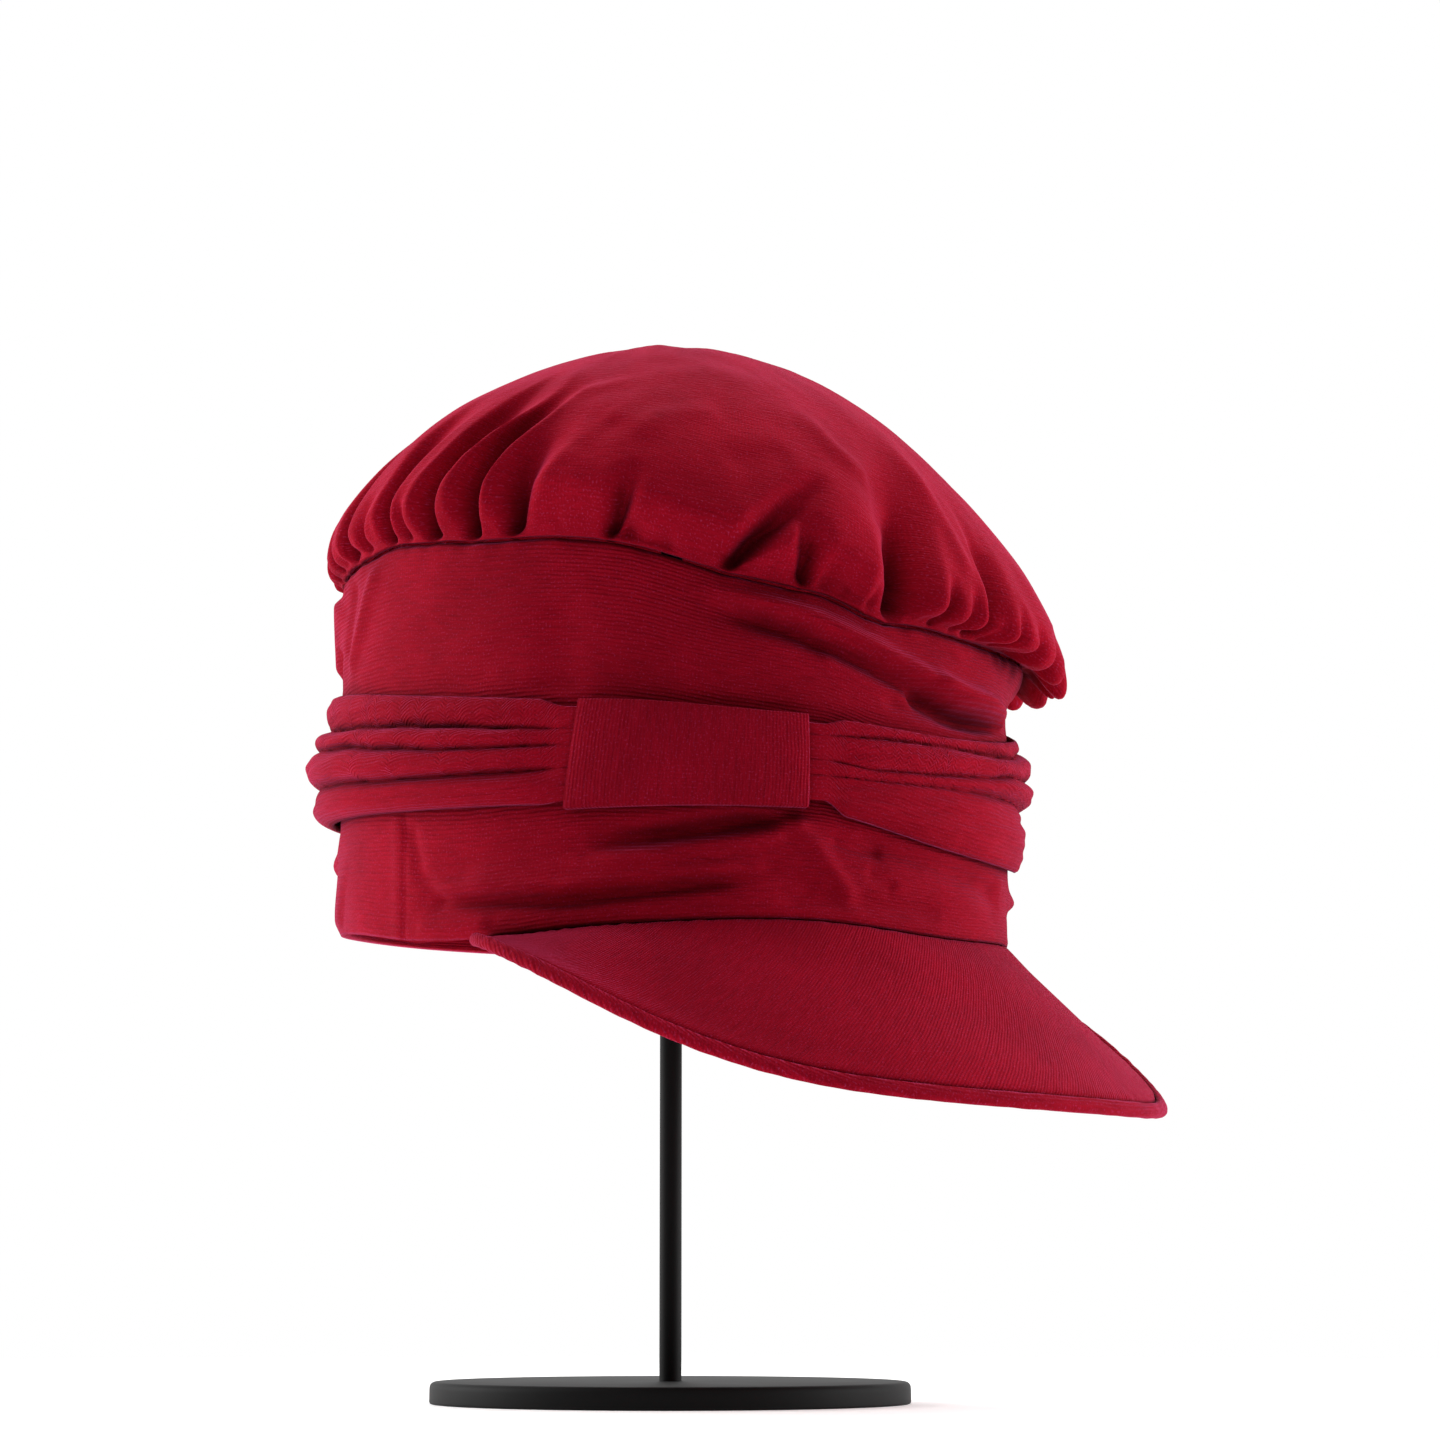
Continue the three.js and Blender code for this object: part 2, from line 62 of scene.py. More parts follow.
def linear(hex_colour: str) -> tuple[float, float, float, float]:
    """Turns an sRGB hex colour into linear light.

    Args:
        hex_colour: six hex digits after a hash.

    Returns:
        Red, green, blue and an alpha of 1.
    """
    parts = [int(hex_colour[i : i + 2], 16) / 255 for i in (1, 3, 5)]
    light = [p / 12.92 if p <= 0.04045 else ((p + 0.055) / 1.055) ** 2.4 for p in parts]
    return (*light, 1.0)


def smooth(share: Grid) -> Grid:
    """Soft step from 0 to 1 as share goes from 0 to 1."""
    held = np.clip(share, 0.0, 1.0)
    return held * held * (3.0 - 2.0 * held)


def mix(start: Grid, end: Grid, share: Grid) -> Grid:
    """Blend of start and end by share."""
    return start + (end - start) * share


def bell(distance: Grid, width: float) -> Grid:
    """Bell curve: 1 where distance is 0, and nearly 0 at twice the width."""
    return np.exp(-((distance / width) ** 2))


def pleat(distance: Grid, width: float, point: float) -> Grid:
    """Sharp fold: 1 in its middle, 0 far away. Point is how round its middle is, as a share of its width."""
    away = np.sqrt((distance / width) ** 2 + point**2) - point
    return np.exp(-(away**1.35))


def turn_between(a: Grid, b: Grid) -> Grid:
    """Shortest signed difference between two turns, in degrees."""
    return (a - b + 180.0) % 360.0 - 180.0


def lengths(steps: Grid) -> Grid:
    """Length of each vector in the last axis."""
    return np.linalg.norm(steps, axis=-1)


def add_node(tree: bpy.types.NodeTree, kind: str, **settings) -> bpy.types.Node:
    """Adds one node with its settings and links.

    Args:
        tree: the node tree that it goes in.
        kind: the node's type, without the prefix that all of them share.
        settings: the node's own settings, in small letters, and its inputs: by name, with underscores for
            spaces, or by number after an underscore. An input takes a value, a socket, or a node whose first
            output is meant.

    Returns:
        The new node.
    """
    node = tree.nodes.new("ShaderNode" + kind)
    for name, value in settings.items():
        if name[0].islower():
            setattr(node, name, value)
            continue
        socket = node.inputs[int(name[1:]) if name[1:].isdigit() else name.replace("_", " ")]
        if isinstance(value, bpy.types.Node):
            value = value.outputs[0]
        if isinstance(value, bpy.types.NodeSocket):
            tree.links.new(value, socket)
        else:
            socket.default_value = value
    return node


def new_material(name: str) -> tuple[Material, Callable]:
    """Makes an empty material.

    Args:
        name: the material's name.

    Returns:
        The material, and add_node for its node tree.
    """
    made = bpy.data.materials.new(name)
    made.use_nodes = True
    made.node_tree.nodes.clear()
    return made, partial(add_node, made.node_tree)


def new_object(name: str, data: bpy.types.ID) -> Piece:
    """Puts a mesh, a lamp or a camera in the scene.

    Args:
        name: the object's name.
        data: what it shows.

    Returns:
        The new object.
    """
    made = bpy.data.objects.new(name, data)
    bpy.context.scene.collection.objects.link(made)
    return made


def new_piece(name: str, points: list, faces: list) -> Piece:
    """Makes a smooth mesh object.

    Args:
        name: the piece's name.
        points: its vertices in metres.
        faces: the numbers of each face's vertices.

    Returns:
        The new object.
    """
    mesh = bpy.data.meshes.new(name)
    mesh.from_pydata(points, [], faces)
    mesh.polygons.foreach_set("use_smooth", np.ones(len(mesh.polygons), bool))
    mesh.update()
    return new_object(name, mesh)


def hand_over(piece: Piece, material: Material, node: str) -> None:
    """Dresses a piece, hangs it under the root and hides the node that it stands for.

    Args:
        piece: the finished piece.
        material: its finish.
        node: name of the node that it replaces, which is hidden.
    """
    piece.data.materials.append(material)
    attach(piece, ROOT)
    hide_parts(node)


# Finishes


class Lay(Enum):
    """Which way the rows of a knit run on a piece, in degrees."""

    ROUND = 0.0
    UPRIGHT = 90.0
    TWILL = 52.0


@dataclass(frozen=True)
class CottonKnit:
    """Fine cotton jersey, piece dyed. Its fuzz lights up at grazing angles and its rows show as fine lines.

    Real rows are about 0.5 mm apart, finer than a pixel, so they are drawn up to twice as coarse.
    """

    name: str
    base: str = "#a20a22"
    shade: str = "#7c0517"
    bloom: str = "#e65c98"
    lint: str = "#d04a84"
    lint_most: float = 0.36
    lay: Lay = Lay.ROUND
    rib_mm: float = 1.0
    rib_depth_mm: float = 0.16
    row_contrast: float = 0.14
    row_wander: float = 1.2
    column_mm: float = 0.9
    column_contrast: float = 0.16
    slub_mm: float = 3.0
    slub_depth_mm: float = 0.35
    fuzz_mm: float = 0.5
    fuzz_depth_mm: float = 0.22
    drift_mm: float = 14.0
    patch_mm: float = 32.0
    patch_tint: float = 0.12
    roughness: float = 0.9
    sheen: float = 0.6
    sheen_roughness: float = 0.27
    # How far the painted shade reaches into a fold, and the darkest share of the colour that it leaves.
    painted_shade_reach_mm: float = 9.0
    painted_shade_darkest: float = 0.26

    def material(self) -> Material:
        """Builds the cloth's material from rows of stitches, slubs, fuzz and a soft colour drift, with
        painted shade in its folds.

        Returns:
            The material.
        """
        made, add = new_material(self.name)
        cloth = add("TexCoord").outputs["UV"]
        turned = add("Mapping", Vector=cloth, Rotation=(0.0, 0.0, math.radians(-self.lay.value)))
        drift = add("TexNoise", Vector=turned, Scale=1 / (self.drift_mm * MM), Detail=2.0)
        fuzz = add("TexNoise", Vector=cloth, Scale=1 / (self.fuzz_mm * MM), Detail=3.0)
        patches = add("TexNoise", Vector=cloth, Scale=1 / (self.patch_mm * MM), Detail=2.0)
        # The rows wander a little, as those of a soft knit do.
        place = add("SeparateXYZ", Vector=turned)
        far = self.row_wander * self.rib_mm * MM
        wander = add("Math", operation="MULTIPLY_ADD", _0=drift, _1=far, _2=place.outputs["Y"])
        phase = add("Math", operation="MULTIPLY", _0=wander, _1=math.tau / (self.rib_mm * MM))
        rows = add("Math", operation="SINE", _0=phase)
        depth = add("MapRange", Value=rows, From_Min=-1.0, From_Max=1.0)
        # Slubs are thick places in the yarn, drawn out along the rows.
        stretch = (1 / (2 * self.slub_mm * MM), 1 / (0.4 * self.slub_mm * MM), 1.0)
        along = add("Mapping", Vector=turned, Scale=stretch)
        slubs = add("TexNoise", Vector=along, Scale=1.0, Detail=4.0)
        uneven = add("MapRange", Value=slubs, From_Min=0.25, From_Max=0.75, To_Min=0.42)
        # Columns of stitches cross the rows and show in patches only.
        phase = add("Math", operation="MULTIPLY", _0=place.outputs["X"], _1=math.tau / (self.column_mm * MM))
        columns = add("Math", operation="SINE", _0=phase)
        shown = add("MapRange", Value=patches, From_Min=0.45, From_Max=0.6, To_Max=self.column_contrast)
        crossed = add("Math", operation="MULTIPLY_ADD", _0=columns, _1=shown, _2=uneven)
        grain = add("Math", operation="MULTIPLY_ADD", _0=depth, _1=self.row_contrast, _2=crossed)
        dyes = {"_6": linear(self.shade), "_7": linear(self.base)}
        toned = add("Mix", data_type="RGBA", clamp_factor=True, _0=grain, **dyes)
        specks = add("MapRange", Value=fuzz, From_Min=0.56, From_Max=0.78, To_Max=self.lint_most)
        fibres = add("Mix", data_type="RGBA", _0=specks, _6=toned.outputs[2], _7=linear(self.lint))
        # Painted shade: an ambient occlusion mask darkens the dye deep inside a fold, down to nearly black,
        # and weakens the sheen there too.
        hidden = add("AmbientOcclusion", samples=6, Distance=self.painted_shade_reach_mm * MM).outputs["AO"]
        painted_shade_factor = add("MapRange", Value=hidden, From_Min=0.25, From_Max=0.85, To_Min=self.painted_shade_darkest)
        span = {"To_Min": 1 - self.patch_tint, "To_Max": 1 + self.patch_tint}
        tint = add("MapRange", Value=patches, From_Min=0.3, From_Max=0.7, **span)
        # The patches' random tone, times the painted shade of the folds.
        tone_and_painted_shade = add("Math", operation="MULTIPLY", _0=tint, _1=painted_shade_factor)
        colour = add("HueSaturation", Value=tone_and_painted_shade, Color=fibres.outputs[2])
        # The painted shade of the folds weakens the sheen there as well.
        sheen_with_painted_shade = add("Math", operation="MULTIPLY", _0=painted_shade_factor, _1=self.sheen)
        bump = add("Bump", Strength=1.0, Distance=self.rib_depth_mm * MM, Height=depth)
        bump = add("Bump", Strength=0.8, Distance=self.slub_depth_mm * MM, Height=slubs, Normal=bump)
        bump = add("Bump", Strength=0.6, Distance=self.fuzz_depth_mm * MM, Height=fuzz, Normal=bump)
        shader = add(
            "BsdfPrincipled", Base_Color=colour, Roughness=self.roughness, IOR=1.46, Specular_IOR_Level=0.04,
            Sheen_Weight=sheen_with_painted_shade, Sheen_Roughness=self.sheen_roughness, Sheen_Tint=linear(self.bloom),
            Normal=bump,
        )
        add("OutputMaterial", Surface=shader)
        return made


@dataclass(frozen=True)
class GrainedBlack:
    """Matt black with a fine grain, as powder coated steel or moulded ABS has. It spreads every highlight."""

    name: str
    base: str = "#101010"
    roughness: float = 0.6
    grain_mm: float = 0.7
    grain_depth_mm: float = 0.04
    dust_mm: float = 18.0

    def material(self) -> Material:
        """Builds the material, whose roughness drifts a little, as thin dust makes it.

        Returns:
            The material.
        """
        made, add = new_material(self.name)
        place = add("TexCoord").outputs["Object"]
        grain = add("TexNoise", Vector=place, Scale=1 / (self.grain_mm * MM), Detail=2.0)
        dust = add("TexNoise", Vector=place, Scale=1 / (self.dust_mm * MM), Detail=4.0)
        span = {"To_Min": self.roughness - 0.01, "To_Max": self.roughness + 0.02}
        rough = add("MapRange", Value=dust, From_Min=0.3, From_Max=0.7, **span)
        bump = add("Bump", Strength=0.35, Distance=self.grain_depth_mm * MM, Height=grain)
        shader = add(
            "BsdfPrincipled", Base_Color=linear(self.base), Roughness=rough, IOR=1.5, Specular_IOR_Level=0.1,
            Normal=bump,
        )
        add("OutputMaterial", Surface=shader)
        return made


# The form that every cloth piece follows


@dataclass(frozen=True)
class HeadForm:
    """The oval that the band stands on, with the seam heights round it, in millimetres.

    Turn 0 is the front, and 90 the keeper's side. A column holds a height above the rim line, or a measure of
    the crown's lip, at each 30 degrees. A wobble holds turns and what the photograph adds there to the smooth
    curve through a column.
    """

    half_length: float = 96.0
    half_breadth: float = 86.0
    rim_height: float = 126.0
    apex: float = 163.0
    flare_turn: float = -47.0
    flare_spread: float = 17.0
    flare_most: float = 6.5
    flare_height: float = 15.0
    rim: tuple = (-5.4, -2.6, -3.8, -6.3, -1.0, 1.5, 2.0, 1.5, -1.0, -6.0, -4.2, -4.4)
    sash_low: tuple = (16.8, 25.4, 26.4, 27.8, 30.0, 31.5, 31.0, 29.0, 27.0, 25.0, 22.0, 15.5)
    sash_top: tuple = (46.5, 49.4, 52.6, 57.6, 64.0, 68.0, 69.0, 66.5, 63.0, 61.0, 60.0, 51.0)
    seam: tuple = (72.5, 81.6, 93.2, 99.0, 99.0, 97.0, 94.0, 90.0, 86.5, 81.5, 75.5, 71.0)
    overhang: tuple = (16.0, 12.5, 9.5, 7.0, 5.3, 4.5, 4.5, 6.0, 9.0, 13.0, 15.5, 16.5)
    sag: tuple = (4.0, 2.0, 1.0, 1.0, 0.5, 0.5, 0.5, 1.0, 2.0, 5.0, 10.0, 10.0)
    lift: tuple = (5.0, 12.0, 14.0, 12.0, 7.0, 5.0, 5.0, 5.0, 4.0, 2.0, -1.0, -1.0)
    seam_wobble: tuple = (
        (-60, 0.0), (-45, 1.2), (-33, 2.6), (-20, 2.6), (-8, 2.0), (4, 1.2), (9, 0.0), (13, -1.4), (17, -1.2),
        (21, 0.0), (25, 0.8), (30, 0.3), (36, -0.2), (41, -0.7), (46, -0.4), (51, 0.3), (57, 0.9), (63, 1.0),
        (69, 0.7), (74, 0.1), (80, -0.7), (85, -1.1), (90, -0.5), (96, -0.2), (100, 0.5), (104, 1.0),
        (109, 0.5), (116, 0.2), (130, 0.0),
    )
    sag_wobble: tuple = (
        (-60, 0.0), (-42, 0.0), (-30, -3.0), (-20, -6.5), (-10, -5.6), (0, -3.6), (15, -2.6), (30, -1.6),
        (50, 0.0),
    )
    overhang_wobble: tuple = (
        (-60, 0.0), (-40, 0.0), (-28, -2.0), (-14, -5.0), (0, -5.5), (15, -4.0), (30, -1.5), (50, 0.0),
    )

    @property
    def radius(self) -> float:
        """Mean radius of the band."""
        return (self.half_length + self.half_breadth) / 2

    @property
    def degree(self) -> float:
        """Millimetres in one degree of the way round the band."""
        return self.radius * math.pi / 180

    def turns(self, stations: int) -> Grid:
        """Evenly spaced turns right round the head, one to a row."""
        return (np.arange(stations) * 360.0 / stations)[:, None]

    def on_cloth(self, turn: Grid, up: Grid) -> Grid:
        """Place on the flat cloth, by the way round the head, closed with a last turn, and the way up."""
        across = np.radians(np.append(turn[:, 0], 360.0)) * self.radius
        return np.stack(np.broadcast_arrays(across[:, None], up), axis=-1)

    def around(self, column: str, turn: Grid) -> Grid:
        """Smooth closed curve through one column, with its wobble.

        Args:
            column: the column's name.
            turn: turns in degrees.

        Returns:
            The value at each turn.
        """
        values = np.array(getattr(self, column))
        place = (np.asarray(turn, float) % 360.0) / (360.0 / len(values))
        i = np.floor(place).astype(int)
        f = place - i
        a, b, c, d = (values[(i + k) % len(values)] for k in (-1, 0, 1, 2))
        value = b + (c - a) / 2 * f + ((2 * a - 5 * b + 4 * c - d) * f**2 + (3 * (b - c) + d - a) * f**3) / 2
        wobble = getattr(self, column + "_wobble", ())
        return value + np.interp(turn, *zip(*wobble), period=360) if wobble else value

    def place(self, turn: Grid, out: Grid | float, height: Grid | float, scale: Grid | float = 1.0) -> Grid:
        """Points in millimetres.

        Args:
            turn: degrees round the head from the front, towards the keeper.
            out: distance outside the band's oval.
            height: height above the rim line.
            scale: how far the oval is drawn in to its middle.

        Returns:
            An array with x, y and z in its last axis.
        """
        angle = np.radians(turn)
        x = -(self.half_breadth + out) * np.sin(angle) * scale
        y = -(self.half_length + out) * np.cos(angle) * scale
        return np.stack(np.broadcast_arrays(x, y, self.rim_height + height), axis=-1)

    def flare(self, turn: Grid, below: Grid | float = 0.0) -> Grid:
        """How far the crown's weight leans the band's top edge outwards, so far below the seam."""
        away = turn_between(turn, self.flare_turn)
        return self.flare_most * bell(away, self.flare_spread) * smooth(1 - below / self.flare_height)


def normals(points: Grid) -> Grid:
    """Unit normals of a grid of points that closes round the head, by differences of its neighbours.

    Args:
        points: grid of points, turn by row by three.

    Returns:
        The normals, facing away from the cap's axis.
    """
    along = np.roll(points, -1, axis=0) - np.roll(points, 1, axis=0)
    facing = np.cross(along, np.gradient(points, axis=1))
    facing /= np.maximum(lengths(facing), 1e-9)[..., None]
    outward = np.sum(facing[..., :2] * points[..., :2], axis=-1).mean()
    return facing if outward > 0 else -facing


def ripples(turn: Grid, row: Grid, seed: int, waves: int, turns: tuple, rows: tuple) -> Grid:
    """Gentle unevenness, the same on each run: a seeded sum of waves that closes round the head.

    Args:
        turn: degrees round the head.
        row: place across the piece, in any unit.
        seed: seed of the random draws.
        waves: how many waves are added.
        turns: least and most waves round the head.
        rows: least and most waves for each unit of row.

    Returns:
        Values of about -1 to 1.
    """
    rng = np.random.default_rng(seed)
    total = np.zeros(np.broadcast(turn, row).shape)
    for _ in range(waves):
        count = rng.integers(turns[0], turns[1] + 1)
        rate = rng.uniform(*rows) * rng.choice([-1, 1])
        total += np.sin(np.radians(turn) * count + math.tau * rate * row + rng.uniform(0, math.tau))
    return total / math.sqrt(waves) / 1.4


def along_line(spots: list, points: Grid) -> tuple[Grid, Grid, Grid]:
    """How points lie to a line of spots.

    Args:
        spots: the line's corners.
        points: the points, with two or three coordinates in the last axis.

    Returns:
        Each point's distance from the line, how far along the line its nearest place is, from 0 to 1, and 1
        where it lies above the line by its first two coordinates, or -1 where it lies below.
    """
    best = np.full(points.shape[:-1], 1e9)
    reach, above = np.zeros_like(best), np.zeros_like(best)
    for k, (start, end) in enumerate(zip(spots[:-1], spots[1:])):
        way, there = end - start, points - start
        along = np.clip(there @ way / (way @ way), 0, 1)
        away = lengths(there - along[..., None] * way)
        closer = away < best
        best = np.where(closer, away, best)
        reach = np.where(closer, (k + along) / (len(spots) - 1), reach)
        side = np.sign(way[0] * there[..., 1] - way[1] * there[..., 0]) * (-1 if way[0] < 0 else 1)
        above = np.where(closer, side, above)
    return best, reach, above


def thicken(piece: Piece, wall: float) -> None:
    """Gives a piece of cloth its thickness, laid inwards from its outer face, in millimetres."""
    solid = piece.modifiers.new("wall", "SOLIDIFY")
    solid.thickness = wall * MM
    solid.offset = -1.0


def cloth_piece(
    name: str, points: Grid, cloth: Grid, wall: float, wrapped: bool = True, ring: bool = False
) -> Piece:
    """Makes one smooth piece of cloth with a real thickness from a grid of points.

    Args:
        name: the piece's name.
        points: outer face, turn by row by three, in millimetres.
        cloth: place on the flat cloth, with one more turn or row where the grid closes, in millimetres.
        wall: thickness of the cloth in millimetres, or 0 where it is given later.
        wrapped: whether the last turn meets the first.
        ring: whether the last row meets the first.

    Returns:
        The new object.
    """
    turns, rows = points.shape[:2]
    quads = np.arange(turns if wrapped else turns - 1), np.arange(rows if ring else rows - 1)
    i, j = (side.ravel() for side in np.meshgrid(*quads, indexing="ij"))
    corners = [(i, j), (i + 1, j), (i + 1, j + 1), (i, j + 1)]
    faces = np.stack([(a % turns) * rows + b % rows for a, b in corners], axis=1)
    places = np.stack([cloth[a, b] for a, b in corners], axis=1) * MM
    flat = points.reshape(-1, 3) * MM
    a, b, c, d = (flat[faces[:, k]] for k in range(4))
    facing = np.cross(c - a, d - b)
    if np.sum(facing[:, :2] * (a + c)[:, :2]) < 0:
        faces, places = faces[:, ::-1], places[:, ::-1]
    piece = new_piece(name, flat.tolist(), faces.tolist())
    piece.data.uv_layers.new(name="cloth").data.foreach_set("uv", places.ravel())
    if wall:
        thicken(piece, wall)
    return piece


# Crown


@dataclass(frozen=True)
class Gather:
    """One valley of the gathered crown.

    It has its turn at the seam, its depth, how far it climbs as a share of the way up, how many degrees it
    sways on its way, and how many degrees it spreads to either side. A spread of 0 goes by the neighbours.
    """

    turn: float
    depth: float
    climb: float
    sway: float = 0.0
    keeperward: float = 0.0
    frontward: float = 0.0


@dataclass(frozen=True)
class DomeCrease:
    """One soft ridge of the dome, or a hollow: its height, its width, and the turns and shares it passes."""

    height: float
    width: float
    line: tuple


@dataclass
class Crown:
    """The full crown, gathered into the band's top edge and smooth over the top."""

    form: HeadForm
    stations: int = 648
    lip_rows: int = 18
    dome_rows: int = 58
    wall: float = 1.4
    seam_gap: float = 0.6
    lip_spacing: float = 1.15
    lip_bend: float = 0.2
    lip_bend_sag: float = 0.45
    full_sag: float = 8.0
    lip_hang: float = 1.6
    lip_round: float = 3.0
    lip_ease: float = 0.3
    flange_reach: float = 1.5
    flange_drop: float = 0.1
    dome_spacing: float = 0.85
    dome_power: float = 1.437
    dome_front: float = 0.052
    dome_turn: float = -43.0
    dome_draw: float = 0.946
    full_depth: float = 7.0
    widest_gap: float = 9.0
    steep_side: float = 0.45
    climb_length: float = 155.0
    sagitta: float = 680.0
    hollow: float = 0.72
    least_pinch: float = 6.4
    pinch_climb: float = 0.24
    pinch_room: float = 4.2
    pinch_flare: float = 0.6
    stray: float = 1.5
    puff: float = 1.6
    puckers: int = 150
    pucker_seed: int = 11
    lean_spread: float = 7.0
    # Turns, and the degrees that the cloth's upright lines lean there on their way up.
    leans: tuple = (
        (-40, -6), (0, -8), (20, -8), (45, -5), (60, -7), (75, -12), (95, -15), (118, -10), (150, -4),
        (180, 0), (250, 3), (300, -2),
    )
    near: tuple = tuple(
        Gather(*measured)
        for measured in (
            (-44, 4.8, 0.16, 0, 2.6, 2.4), (-36, 5.6, 0.22, 0, 3.0, 2.8), (-29, 5.2, 0.15, 0, 2.4, 2.2),
            (-22, 4.4, 0.12, 0, 2.1, 1.9), (-14.5, 4.2, 0.13, 0, 2.0, 1.8), (-9.8, 4.0, 0.11, 0, 1.7, 1.5),
            (-6, 5.0, 0.38, -3, 3.0, 5.0), (-1.8, 4.2, 0.13, 0, 1.7, 1.6), (3.6, 4.6, 0.14, 0, 2.0, 1.8),
            (12.2, 9.0, 0.50, -2, 8.5, 6.4), (17.2, 3.6, 0.10, 0, 1.6, 1.5), (20, 1.8, 0.06, 0, 1.6, 1.4),
            (25.3, 4.2, 0.09, 0, 2.0, 1.4), (28.8, 8.0, 0.17, 3, 2.2, 3.4), (41.5, 8.8, 0.25, -13, 4.6, 3.0),
            (51, 1.2, 0.06, 0, 1.5, 1.5), (60.5, 8.0, 0.18, -4, 2.0, 2.8), (68, 1.4, 0.08, 0, 1.6, 1.6),
            (77, 8.4, 0.34, 0, 3.4, 6.6), (84.5, 8.8, 0.50, 0, 3.6, 4.0), (93, 7.0, 0.56, 0, 3.4, 4.2),
            (99, 3.6, 0.12, 0, 2.0, 2.2), (104, 5.8, 0.44, 0, 2.6, 3.4), (112, 3.8, 0.14, 0, 2.2, 2.4),
            (119, 5.0, 0.46, 0, 2.6, 3.6), (127.5, 3.6, 0.16, 0, 2.2, 2.4),
        )
    )
    creases: tuple = (
        DomeCrease(1.4, 3.6, ((30.6, 0.47), (26.1, 0.35), (21.1, 0.317), (16.7, 0.31))),
        DomeCrease(-1.8, 6.5, ((19.5, 0.35), (17.2, 0.252), (16.1, 0.191))),
        DomeCrease(1.3, 3.4, ((3.3, 0.465), (2.8, 0.344), (1.1, 0.26), (-0.6, 0.181), (-1.7, 0.139))),
        DomeCrease(0.8, 3.0, ((-10.0, 0.311), (-8.9, 0.244), (-11.1, 0.197))),
        DomeCrease(1.2, 4.0, ((89.4, 0.107), (87.8, 0.269), (87.2, 0.57))),
        DomeCrease(1.3, 4.0, ((82.2, 0.136), (81.7, 0.244), (80.6, 0.377), (63.9, 0.475))),
        DomeCrease(1.1, 4.6, ((59.4, 0.224), (55.6, 0.322), (45.6, 0.385))),
        DomeCrease(-1.5, 5.5, ((66.5, 0.16), (63.9, 0.29))),
        DomeCrease(-1.3, 5.0, ((44.4, 0.223), (33.9, 0.291))),
    )
    far_from: float = 134.5
    far_to: float = 310.0
    far_count: int = 25
    far_share: float = 0.44
    far_long: tuple = (5.8, 0.44)
    far_short: tuple = (3.8, 0.16)
    # How the cloth settles. Its negative shrinkage is spare length.
    held_rows: tuple = (1.0, 1.0, 0.5)
    settling: tuple = (
        ("quality", 5), ("mass", 0.001), ("air_damping", 1.0), ("tension_stiffness", 0.5),
        ("compression_stiffness", 0.5), ("shear_stiffness", 0.1), ("bending_stiffness", 0.008),
        ("vertex_group_mass", "seam"), ("vertex_group_shrink", "spare"), ("shrink_min", 0.0),
        ("shrink_max", -0.09),
    )
    spare_climb: float = 0.45
    frames: int = 11
    most: float = 3.5
    evening: int = 5
    still_rows: int = 26
    finish: CottonKnit = CottonKnit(
        "crown cotton jersey", rib_mm=0.8, rib_depth_mm=0.035, row_contrast=0.12, sheen=0.37, slub_mm=2.2
    )

    def gathers(self) -> list[Gather]:
        """The measured gathers, and those of the far side, which alternate unevenly between long and short.

        Returns:
            Every gather, by turn.
        """
        far = []
        for i in range(self.far_count):
            turn = mix(self.far_from, self.far_to, i / (self.far_count - 1)) + 1.3 * math.sin(i * 2.4)
            depth, climb = self.far_long if math.sin(i * 2.3) > -0.2 else self.far_short
            depth += 1.2 * math.sin(i * 1.9)
            far.append(Gather(turn, depth, climb + 0.08 * math.sin(i * 1.3), 2.5 * math.sin(i * 0.9)))
        return sorted([*self.near, *far], key=lambda gather: gather.turn)

    def surface(self, turn: Grid, share: Grid) -> Grid:
        """The crown's form without its gathers: a lip that hangs over the seam, and a dome.

        Args:
            turn: degrees round the head.
            share: 0 at the seam, 1 where the crown is widest and 2 at the apex.

        Returns:
            Points in millimetres.
        """
        form = self.form
        seam, lift, out, sag = (form.around(column, turn) for column in ("seam", "lift", "overhang", "sag"))
        base, widest = seam + self.seam_gap, seam + lift
        b = np.clip(share, 0.0, 1.0)
        weights = ((1 - b) ** 3, 3 * b * (1 - b) ** 2, 3 * b**2 * (1 - b), b**3)
        climb = np.maximum(0.0, lift)
        near = self.lip_bend + self.lip_bend_sag * np.minimum(1.0, sag / self.full_sag)
        flare = form.flare(turn)
        lip_out = sum(w * x for w, x in zip(weights, (self.seam_gap + flare, near * out + flare, out, out)))
        low = base - self.lip_hang * sag + self.lip_ease * climb
        high = widest - self.lip_round - self.lip_ease * sag - self.lip_ease * climb
        lip_height = sum(w * x for w, x in zip(weights, (base, low, high, widest)))
        rise = np.radians(90 * np.clip(share - 1.0, 0.0, 1.0))
        power = self.dome_power + self.dome_front * np.cos(np.radians(turn - self.dome_turn))
        dome = share >= 1.0
        height = np.where(dome, mix(widest, form.apex, np.sin(rise) ** power), lip_height)
        scale = np.maximum(0.0, np.cos(rise)) ** self.dome_draw
        return form.place(turn, np.where(dome, out, lip_out), height, np.where(dome, scale, 1.0))

    def lean(self, turn: Grid) -> Grid:
        """How many degrees the cloth's upright lines lean on their way up, evened out round the head."""
        raw = np.interp(turn[:, 0], *zip(*self.leans), period=360)
        near = bell(turn_between(turn, turn.T), self.lean_spread)
        return (near @ raw / near.sum(axis=1))[:, None]

